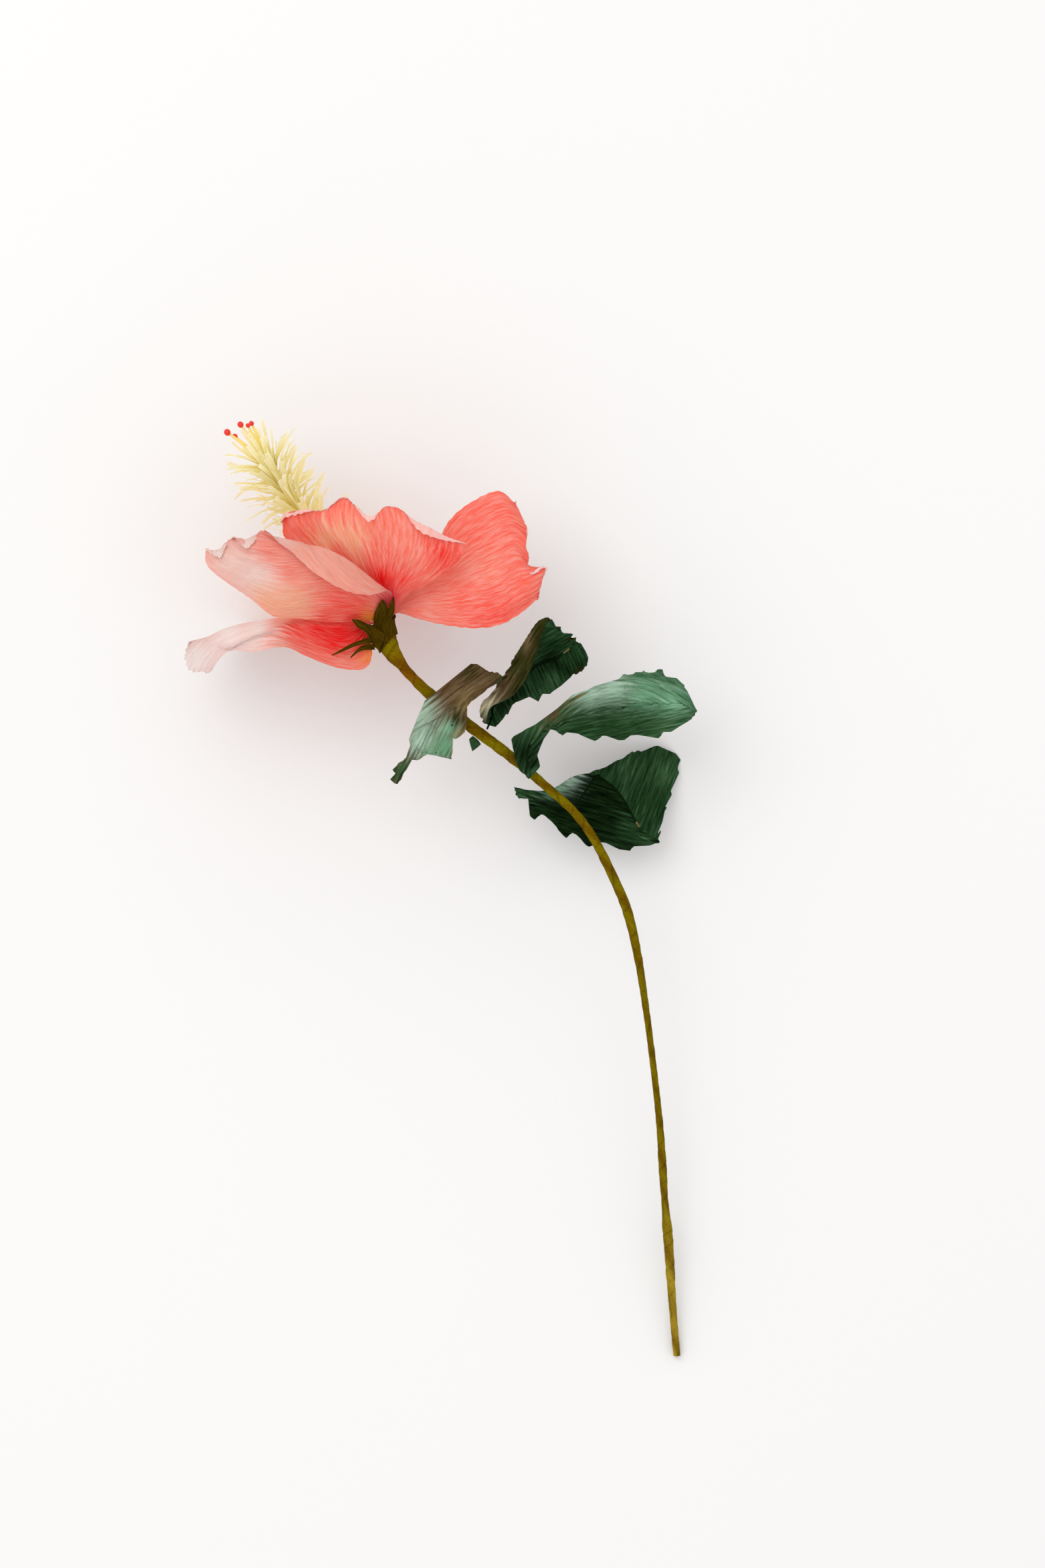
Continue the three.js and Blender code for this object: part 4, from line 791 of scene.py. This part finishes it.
# Leaves: grain gives lengths along and across it; front is +1 where the sheet's normal side faces up
LEAVES = [
    {
        "name": "leaf_a", "ribs": LEAF_A, "size": (170, 60), "creases": (), "front": 1,
        "grain": lambda share, x, y: slanted(x, y, np.where(y < 73 + 0.6 * x, 64, 38)),
        "first": LEAF_A_UPPER, "last": LEAF_A_LOWER, "base": UMBER,
        "spots": [
            # The two sage spots are pale grey-green paper with painted highlight on the side of the fold that
            # faces the light
            (12, 92, 4, DARK_UMBER), (27, 88, 3, MOSS), (11, 79, 4, TAN), (-7, 74, 6, SAGE_PAINTED_HIGHLIGHT),
            (-8, 63, 7, SAGE_PAINTED_HIGHLIGHT),
            (2, 60, 6, GREY_GREEN), (4, 68, 4, GREY_GREEN), (9, 65, 3, TAN), (7, 73, 3, DARK_UMBER),
            (-4, 56, 3, GREY_GREEN), (-17, 50, 6, FERN),
        ],
        "back": FERN, "back_spots": [],
    },
    {
        "name": "leaf_b", "ribs": LEAF_B, "size": (140, 120), "creases": (2, 4), "front": 1,
        "grain": lambda share, x, y: slanted(x, y, np.where(share < 0.4, -66, np.where(share < 0.8, 27, 57))),
        "first": LEAF_B_LOWER, "end": LEAF_B_END, "base": MOSS,
        "spots": [(47, 97, 6, DEEP_MOSS), (35, 83, 7, FERN), (27, 76, 5, FERN), (47, 87, 5, FERN),
        (45, 113, 4, FERN)],
        "back": DARK_UMBER,
        "back_spots": [(28, 88, 3, UMBER), (36, 103, 3, UMBER), (24, 83, 4, UMBER), (19, 78, 5, BEIGE)],
    },
    {
        "name": "leaf_c", "ribs": LEAF_C, "size": (230, 72), "creases": (2,), "front": -1,
        "grain": arched,
        "first": LEAF_C_UPPER, "last": LEAF_C_LOWER, "base": FERN,
        "spots": [
            # Grey-green and sage spots: painted highlight and sheen on the upper half, which faces the light
            (86, 83, 7, GREY_GREEN), (98, 80, 7, GREY_GREEN), (62, 83, 6, SAGE_PAINTED_HIGHLIGHT), (73, 85, 6, SAGE_PAINTED_HIGHLIGHT),
            # Moss spots along the lower half: painted shade on the side turned away from the light
            (58, 68, 7, MOSS),
            (70, 68, 8, MOSS), (80, 67, 8, MOSS), (90, 68, 6, FERN), (36, 57, 9, DEEP_MOSS),
            (47, 74, 3.5, UMBER),
            (54, 81, 2.5, TAN),
        ],
        # The deep moss back spot is painted shadow on the inner side of the curled neck
        "back": MOSS, "back_spots": [(41, 58, 4, DEEP_MOSS)],
    },
    {
        "name": "leaf_d", "ribs": LEAF_D_NEAR, "size": (180, 56), "creases": (), "front": 1,
        "grain": lambda share, x, y: slanted(x, y, -17),
        "first": LEAF_D_NEAR_LOWER, "base": DEEP_MOSS,
        # Grey-green and sage spots: painted highlight on the bulge of the near half; the deep moss spot after
        # them: painted shadow in the dip beyond it
        "spots": [(36, 41, 5, FERN), (48, 42, 3, GREY_GREEN), (55, 46, 4, SAGE_PAINTED_HIGHLIGHT), (61, 42, 4, DEEP_MOSS),
                  (80, 26, 6, MOSS), (88, 21, 3, FERN)],
        "back": MOSS, "back_spots": [],
    },
    {
        "name": "leaf_d", "ribs": LEAF_D_FAR, "size": (160, 60), "creases": (), "front": 1,
        "grain": lambda share, x, y: slanted(x, y, 70),
        "last": LEAF_D_FAR_OUTER, "tucked": True, "base": MOSS, "spots": [(96, 50, 6, FERN),
        (79, 51, 5, FERN)],
        "back": MOSS, "back_spots": [],
    },
]
LEAF_WIRES = {
    "leaf_wire_a": {"sheet": 0, "column": 0.67, "rows": (0.44, 0.76), "face": -1,
    "root": (8.6, 74.8, 58.9)},
    "leaf_wire_b": {"sheet": 1, "column": 0.4, "rows": (0.07, 0.93), "face": 1,
    "root": (19.8, 67.8, 55.6)},
    "leaf_wire_c": {"sheet": 2, "column": 0.5, "rows": (0.15, 0.8), "face": -1,
    "root": (38, 51.8, 51.6)},
    "leaf_wire_d": {"sheet": 4, "column": 0.0, "rows": (0.14, 0.72), "face": 1,
    "root": (58.3, 37.4, 43.4)},
}
LEAF_WIRE_RADIUS = 0.42
WIRE_SUNK = 0.5
WIRE_PICKS = 14
WIRE_STEPS, WIRE_SIDES = 60, 10
BARE_WIRE_FROM = 0.92
LEAF_CRINKLE = (0.26, 26, 1.9)
LEAF_SWELL = (0.35, 40, 9)
HELD_MARGIN = 0.08
FOLD_OVERLAP = 1.2


def leaf_sheet(leaf, seed):
    """The grid, points, faces, grain and tint of one leaf sheet."""
    grid = surface(leaf["ribs"], *leaf["size"], leaf["creases"])
    if "end" in leaf:
        grid = to_outline(grid.swapaxes(0, 1), leaf["end"]).swapaxes(0, 1)
    if "first" in leaf:
        grid = to_outline(grid[:, ::-1], leaf["first"])[:, ::-1]
    if "last" in leaf:
        grid = to_outline(grid, leaf["last"])
    if leaf.get("tucked"):
        grid[:, 0] += (grid[:, 0] - grid[:, 1]) * FOLD_OVERLAP + (0, 0, -LEAF_THICKNESS)
    x, y = grid[..., 0], grid[..., 1]
    share = np.broadcast_to(np.linspace(0, 1, grid.shape[1]), x.shape)
    p, q = leaf["grain"](share, x, y)
    held = np.clip(np.minimum(share, 1 - share) / HELD_MARGIN, 0, 1)
    wave = crinkle(p, q, LEAF_CRINKLE, seed + 3) + crinkle(p, q, LEAF_SWELL, seed + 4)
    grid = grid + normals(grid) * (wave * held)[..., None]
    points, faces = sheet(grid, LEAF_THICKNESS)
    flat = brushed(grid, p, q, seed + 5)
    front = paint(flat, leaf["base"], leaf["spots"])
    back = paint(flat, leaf["back"], leaf["back_spots"])
    tint = np.concatenate([front, back] if leaf["front"] > 0 else [back, front])
    grain = np.stack([p, q], -1).reshape(-1, 2)
    return grid, (points, faces, np.concatenate([grain, grain + 40]), tint)


leaf_grids, leaf_parts = [], {}
for number, leaf in enumerate(LEAVES):
    grid, part = leaf_sheet(leaf, 100 + 10 * number)
    leaf_grids.append(grid)
    leaf_parts.setdefault(leaf["name"], []).append(part)
for name, parts in leaf_parts.items():
    make(name, *join(*parts), LEAF_PAPER, "leaf_paper")

# Leaf wires, half sunk in the paper that covers them
for name, wire in LEAF_WIRES.items():
    grid = leaf_grids[wire["sheet"]]
    rows, columns = grid.shape[:2]
    column = round(wire["column"] * (columns - 1))
    first, last = (round(share * (rows - 1)) for share in wire["rows"])
    picked = np.linspace(first, last, WIRE_PICKS).astype(int)
    normal = normals(grid)[picked, column]
    lift = np.sign(normal[:, 2:]) * wire["face"] * (LEAF_THICKNESS / 2 + LEAF_WIRE_RADIUS * WIRE_SUNK)
    path = spline(np.concatenate([[wire["root"]], grid[picked, column] + normal * lift]), WIRE_STEPS)
    points, faces = tube(path, LEAF_WIRE_RADIUS, WIRE_SIDES)
    length = np.repeat(np.linspace(0, 1, WIRE_STEPS), WIRE_SIDES)
    grain = np.stack([length * WIRE_STEPS, np.tile(np.arange(WIRE_SIDES), WIRE_STEPS)], -1)
    tint = paint(points, DEEP_MOSS)
    tint[length > BARE_WIRE_FROM] = linear(TAN)
    make(name, points, faces, grain, tint, LEAF_PAPER, "leaf_wire")

# Scrap of leaf paper glued under the stem
grid = surface(STIPULE, 20, 16)
points, faces = sheet(grid, LEAF_THICKNESS)
make("stipule", points, faces, points[:, :2], paint(points, FERN), LEAF_PAPER, "leaf_paper")

# Stem: a paper strip wound round the wire, with overlapping edges and glued lumps
OLIVE = (130, 112, 2)
STRAW = (184, 158, 44)
BARK = (104, 68, 2)
RUST = (150, 92, 6)
STEM_STEPS, STEM_SIDES = 620, 26
WRAP_PITCH = 8.5
WRAP_WANDER = (0.35, 80, 30)
LEAST_RADIUS, WRAP_STEP, LUMP_HEIGHT = 0.97, 0.05, 0.045
SEAM_PLACE, SEAM_WIDTH, SEAM_DEPTH = 0.96, 0.05, 0.45
BARK_SHARE = 0.7
path = spline(np.array(STEM)[:, :3], STEM_STEPS)
radius = spline(np.array(STEM)[:, 3:], STEM_STEPS)
run = np.concatenate([[0], np.cumsum(np.linalg.norm(np.diff(path, axis=0), axis=1))])[:, None]
angle = np.linspace(0, 1, STEM_SIDES, endpoint=False)[None]
turn = run / WRAP_PITCH + angle + crinkle(run, run, WRAP_WANDER, 201)
edge = np.mod(turn, 1)
lumps = ripple(run + 0 * angle, run + 6 * np.sin(2 * math.pi * angle), 30, 7, 202)
bulge = radius * (LEAST_RADIUS + WRAP_STEP * edge + LUMP_HEIGHT * lumps)
points, faces = tube(path, bulge, STEM_SIDES)
grain = np.stack([(8 * turn).ravel(), (run - 3 * angle * WRAP_PITCH).ravel()], -1)
patch = np.clip(0.5 + 0.6 * ripple(run + 0 * angle, run + 5 * np.cos(2 * math.pi * angle), 60, 22, 203), 0, 1)
seam = np.exp(-(((edge - SEAM_PLACE) / SEAM_WIDTH) ** 2))
olive = paint(points, OLIVE, [(98, -185, 40, STRAW), (-14, 92, 7, RUST)])
tint = olive + (linear(BARK) - olive) * (BARK_SHARE * patch.reshape(-1, 1))
tint = tint * (1 - SEAM_DEPTH * seam.reshape(-1, 1))
make("stem_wrap", points, faces, grain, tint, STEM_PAPER, "stem_paper")

# Collar: a strip wound a little over one turn, with a slanted lower edge, and its sepals
COLLAR_BROWN = (78, 58, 2)
COLLAR_TOP = 0.6
COLLAR_LOW, COLLAR_SLANT = -8.5, 3
COLLAR_FIRST, COLLAR_LAST = -90, 300
COLLAR_REACH, COLLAR_FLARE, COLLAR_LAP = 4.25, 0.5, 0.35
COLLAR_CRUMPLE = (0.22, 9, 3.4)
STRIP_CRINKLE = (0.16, 9, 1.8)
turns = np.linspace(COLLAR_FIRST, COLLAR_LAST, 110)
low = COLLAR_LOW + COLLAR_SLANT * np.cos(np.radians(turns))
levels = np.linspace(0, 1, 40)[:, None]
crumple = crinkle(turns[None] / 9 + 0 * levels, turns[None] / 9 + 3 * levels, COLLAR_CRUMPLE, 301)
wound = (turns[None] - COLLAR_FIRST) / (COLLAR_LAST - COLLAR_FIRST)
reach = COLLAR_REACH + COLLAR_FLARE * levels + COLLAR_LAP * wound + crumple
grid = np.array([
    [round_axis(low[k] + (COLLAR_TOP - low[k]) * level, reach[i, k], turns[k]) for k in range(len(turns))]
    for i, level in enumerate(levels[:, 0])
])


def crumpled(ribs, seed, rows=26, columns=16):
    """A small torn paper strip: points, faces, grain and tint."""
    grid = surface(ribs, rows, columns)
    p, q = arc_lengths(grid)
    grid = grid + normals(grid) * crinkle(p, q, STRIP_CRINKLE, seed)[..., None]
    points, faces = sheet(grid, COLLAR_THICKNESS)
    grain = np.stack([p, q], -1).reshape(-1, 2)
    tint = paint(points, COLLAR_BROWN, [(-44, 99, 4, BARK)])
    return points, faces, np.concatenate([grain, grain]), tint


# Sepal ribs: level and radius at the root and rim; shares of the length, bulge and narrowing further out
SEPAL_ROOT, SEPAL_RIM = (-3, 4.6), (0.4, 5.4)
SEPAL_RADIUS = 4.7
MIDDLE_SHARE, MIDDLE_BULGE = 0.45, 0.6
NECK_SHARE, NECK_NARROWING, NECK_BULGE = 0.8, 0.5, 0.3
RIM_WIDTH, TIP_WIDTH = 0.95, 0.08


def sepal_ribs(degrees, half, tip):
    """Ribs of a pointed sepal, from inside the collar to its tip."""
    spread = math.degrees(half / SEPAL_RADIUS)
    sides = (-1, -0.5, 0, 0.5, 1)
    root = np.array([round_axis(*SEPAL_ROOT, degrees + s * spread) for s in sides])
    rim = np.array([round_axis(*SEPAL_RIM, degrees + RIM_WIDTH * s * spread) for s in sides])
    tip = np.array(tip)
    out = round_axis(0, 1, degrees) - BASE
    middle = rim + (tip - rim[2]) * MIDDLE_SHARE + out * MIDDLE_BULGE
    neck = rim + (tip - rim[2]) * NECK_SHARE - (rim - rim[2]) * NECK_NARROWING + out * NECK_BULGE
    end = tip + (rim - rim[2]) * TIP_WIDTH
    return [r.ravel() for r in (root, rim, middle, neck, end)]


points, faces = sheet(grid, COLLAR_THICKNESS)
p, q = arc_lengths(grid)
grain = np.stack([p, q], -1).reshape(-1, 2)
body = (points, faces, np.concatenate([grain, grain]), paint(points, COLLAR_BROWN))
pieces = [body, crumpled(SIDE_SEPAL, 310)]
pieces += [crumpled(sepal_ribs(*s), 311 + k) for k, s in enumerate(SEPALS)]
make("calyx", *join(*pieces), COLLAR_PAPER, "calyx_paper")
make("bract_1", *crumpled(BRACT_1, 320), COLLAR_PAPER, "calyx_paper")
make("bract_2", *crumpled(BRACT_2, 321), COLLAR_PAPER, "calyx_paper")

# Stamen fringe: a finely cut band wound round the column, its blunt strips splayed like a brush
FRINGE_STRIPS = 170
FRINGE_STEPS = 9
FRINGE_FIRST, FRINGE_RUN = 0.46, 0.53
TURN_SPREAD = (-20, 20)
SPLAY, TOP_CLOSING, FRONT_CLOSING = (46, 66), 26, 28
STRIP_LENGTH, STRIP_HALF_WIDTH = (13, 20), (0.7, 1.25)
STRIP_BEND, STRIP_SWAY, STRIP_TWIST = (-0.2, 0.5), (-2, 2), (-0.8, 0.8)
FRINGE_YELLOW = (255, 248, 190)
FRINGE_PALE = (255, 252, 234)
THREAD_YELLOW = (255, 244, 190)
BEAD_RED = (190, 28, 14)
FRINGE_THICKNESS = 0.16
GOLDEN_ANGLE = 137.5
SLEEVE_RADIUS = 2.2
COLUMN_STEPS = 200
column_path = spline(COLUMN, COLUMN_STEPS)
column_way = np.gradient(column_path, axis=0)
column_way /= np.linalg.norm(column_way, axis=1, keepdims=True)
rng = np.random.default_rng(400)


def fringe_strip(n):
    """One cut strip of the fringe: points, faces, grain and tint."""
    share = (n + 0.5) / FRINGE_STRIPS
    k = round((COLUMN_STEPS - 1) * (FRINGE_FIRST + FRINGE_RUN * share))
    forward = column_way[k]
    side = np.cross(forward, FRONT)
    side /= np.linalg.norm(side)
    turn = math.radians(GOLDEN_ANGLE * n + rng.uniform(*TURN_SPREAD))
    out = side * math.cos(turn) + np.cross(side, forward) * math.sin(turn)
    width_way = np.cross(forward, out)
    splay = math.radians(rng.uniform(*SPLAY) - TOP_CLOSING * share**5 - FRONT_CLOSING * max(0, out[2]))
    length = rng.uniform(*STRIP_LENGTH)
    half = rng.uniform(*STRIP_HALF_WIDTH)
    bend = rng.uniform(*STRIP_BEND)
    sway = rng.uniform(*STRIP_SWAY)
    steps = np.linspace(0, 1, FRINGE_STEPS)[:, None]
    tilt = splay + bend * steps
    reach = forward * np.cos(tilt) + out * np.sin(tilt)
    middle = column_path[k] + out * SLEEVE_RADIUS * 0.7 + steps * length * reach + width_way * sway * steps**2
    twist = rng.uniform(*STRIP_TWIST) * np.minimum(1, 3 * steps)
    breadth = half * (width_way * np.cos(twist) + np.cross(reach, width_way) * np.sin(twist))
    grid = np.stack([middle - breadth, middle + breadth], 1)
    points, faces = sheet(grid, FRINGE_THICKNESS)
    run = np.tile(np.repeat(steps[:, 0], 2), 2)
    edge = np.tile([0, 2 * half], 2 * FRINGE_STEPS)
    root, tip = linear(FRINGE_YELLOW), linear(FRINGE_PALE)
    tint = root + (tip - root) * run[:, None] ** 0.6
    return points, faces, np.stack([run * length, edge + n], -1), tint


points, faces = tube(column_path, np.full(COLUMN_STEPS, SLEEVE_RADIUS), 16)
tint = paint(points, FRINGE_YELLOW, [(-24, 113, 12, RED_CORAL)])
sleeve = (points, faces, points[:, :2], tint)
make("stamen_fringe", *join(sleeve, *map(fringe_strip, range(FRINGE_STRIPS))), FRINGE_PAPER, "fringe_paper")

# Stigmas: a thread with a round red bead at its end
THREAD_STEPS, THREAD_SIDES = 24, 10
THREAD_RADII = (1.05, 0.5)
THREAD_RISE, THREAD_BOW = 0.4, 0.8
top, upwards = column_path[-1], column_way[-1]
aside = np.cross(upwards, FRONT)
aside /= np.linalg.norm(aside)


def bead(centre, radius, rows=14, sides=18):
    """Points and faces of a slightly uneven ball."""
    angle = np.linspace(0.02, math.pi - 0.02, rows)
    path = np.array(centre) + np.outer(-np.cos(angle) * radius * 1.08, upwards)
    return tube(path, np.sin(angle) * radius, sides)


for n, (centre, radius, root) in enumerate(STIGMAS):
    start = top + upwards * THREAD_RISE + aside * root[0] + FRONT * root[1]
    middle = (start + centre) / 2 + upwards * THREAD_BOW
    path = spline([start, middle, np.array(centre)], THREAD_STEPS)
    taper = np.linspace(*THREAD_RADII, THREAD_STEPS)
    thread_points, thread_faces = tube(path, taper, THREAD_SIDES)
    ball_points, ball_faces = bead(centre, radius)
    thread = (thread_points, thread_faces, thread_points[:, :2], paint(thread_points, THREAD_YELLOW))
    ball = (ball_points, ball_faces, ball_points[:, :2], paint(ball_points, BEAD_RED))
    piece = make(f"stigma_{n + 1}", *join(thread, ball), FRINGE_PAPER, "stigma")
    piece.data.materials.append(BEAD_PAINT)
    for polygon in piece.data.polygons[len(thread_faces):]:
        polygon.material_index = 1

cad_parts["stem_wire"].data.materials.clear()
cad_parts["stem_wire"].data.materials.append(STEEL)

# Floor, light and camera
FLOOR_HALF = 3.0
FLOOR_PALE = (233, 232, 231)
SKY_STRENGTH = 1.02
KEY_PLACE, KEY_AIM = (-0.7, 0.8, 1.8), (0, 0.05, 0.05)
KEY_SIZE, KEY_WATTS = 1.4, 10
floor_mesh = bpy.data.meshes.new("floor")
corners = [(x * FLOOR_HALF, y * FLOOR_HALF, 0) for x, y in ((-1, -1), (1, -1), (1, 1), (-1, 1))]
floor_mesh.from_pydata(corners, [], [(0, 1, 2, 3)])
floor_mesh.materials.append(plain("floor_white", FLOOR_PALE, 0.9))
floor = bpy.data.objects.new("floor", floor_mesh)
bpy.context.scene.collection.objects.link(floor)
floor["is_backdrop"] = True

world = bpy.data.worlds.new("studio")
world.use_nodes = True
world.node_tree.nodes["Background"].inputs["Color"].default_value = (1, 1, 1, 1)
world.node_tree.nodes["Background"].inputs["Strength"].default_value = SKY_STRENGTH
bpy.context.scene.world = world


def area_light(name, place, aim, size, watts):
    """A square soft light that faces its aim."""
    lamp = bpy.data.lights.new(name, "AREA")
    lamp.size = size
    lamp.energy = watts
    lamp_object = bpy.data.objects.new(name, lamp)
    lamp_object.location = place
    lamp_object.rotation_euler = (Vector(aim) - Vector(place)).to_track_quat("-Z", "Y").to_euler()
    bpy.context.scene.collection.objects.link(lamp_object)


area_light("key", KEY_PLACE, KEY_AIM, KEY_SIZE, KEY_WATTS)

# The camera looks straight down, so that the picture's up is +Y
PICTURE_MM = 0.28
PICTURE_WIDTH, PICTURE_HEIGHT = 1568, 2352
PICTURE_ORIGIN = (660, 1336)
CAMERA_HEIGHT = 6.0
SHARP_LEVEL = 0.06
camera = bpy.data.cameras.new("camera")
camera.sensor_width = 36
camera.lens = camera.sensor_width * CAMERA_HEIGHT / (PICTURE_HEIGHT * PICTURE_MM * MM)
camera_object = bpy.data.objects.new("camera", camera)
camera_object.location = (
    (PICTURE_WIDTH / 2 - PICTURE_ORIGIN[0]) * PICTURE_MM * MM,
    (PICTURE_ORIGIN[1] - PICTURE_HEIGHT / 2) * PICTURE_MM * MM,
    CAMERA_HEIGHT + SHARP_LEVEL,
)
camera.clip_end = 20
bpy.context.scene.collection.objects.link(camera_object)
bpy.context.scene.camera = camera_object
bpy.context.scene.view_settings.view_transform = "Standard"

low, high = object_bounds()
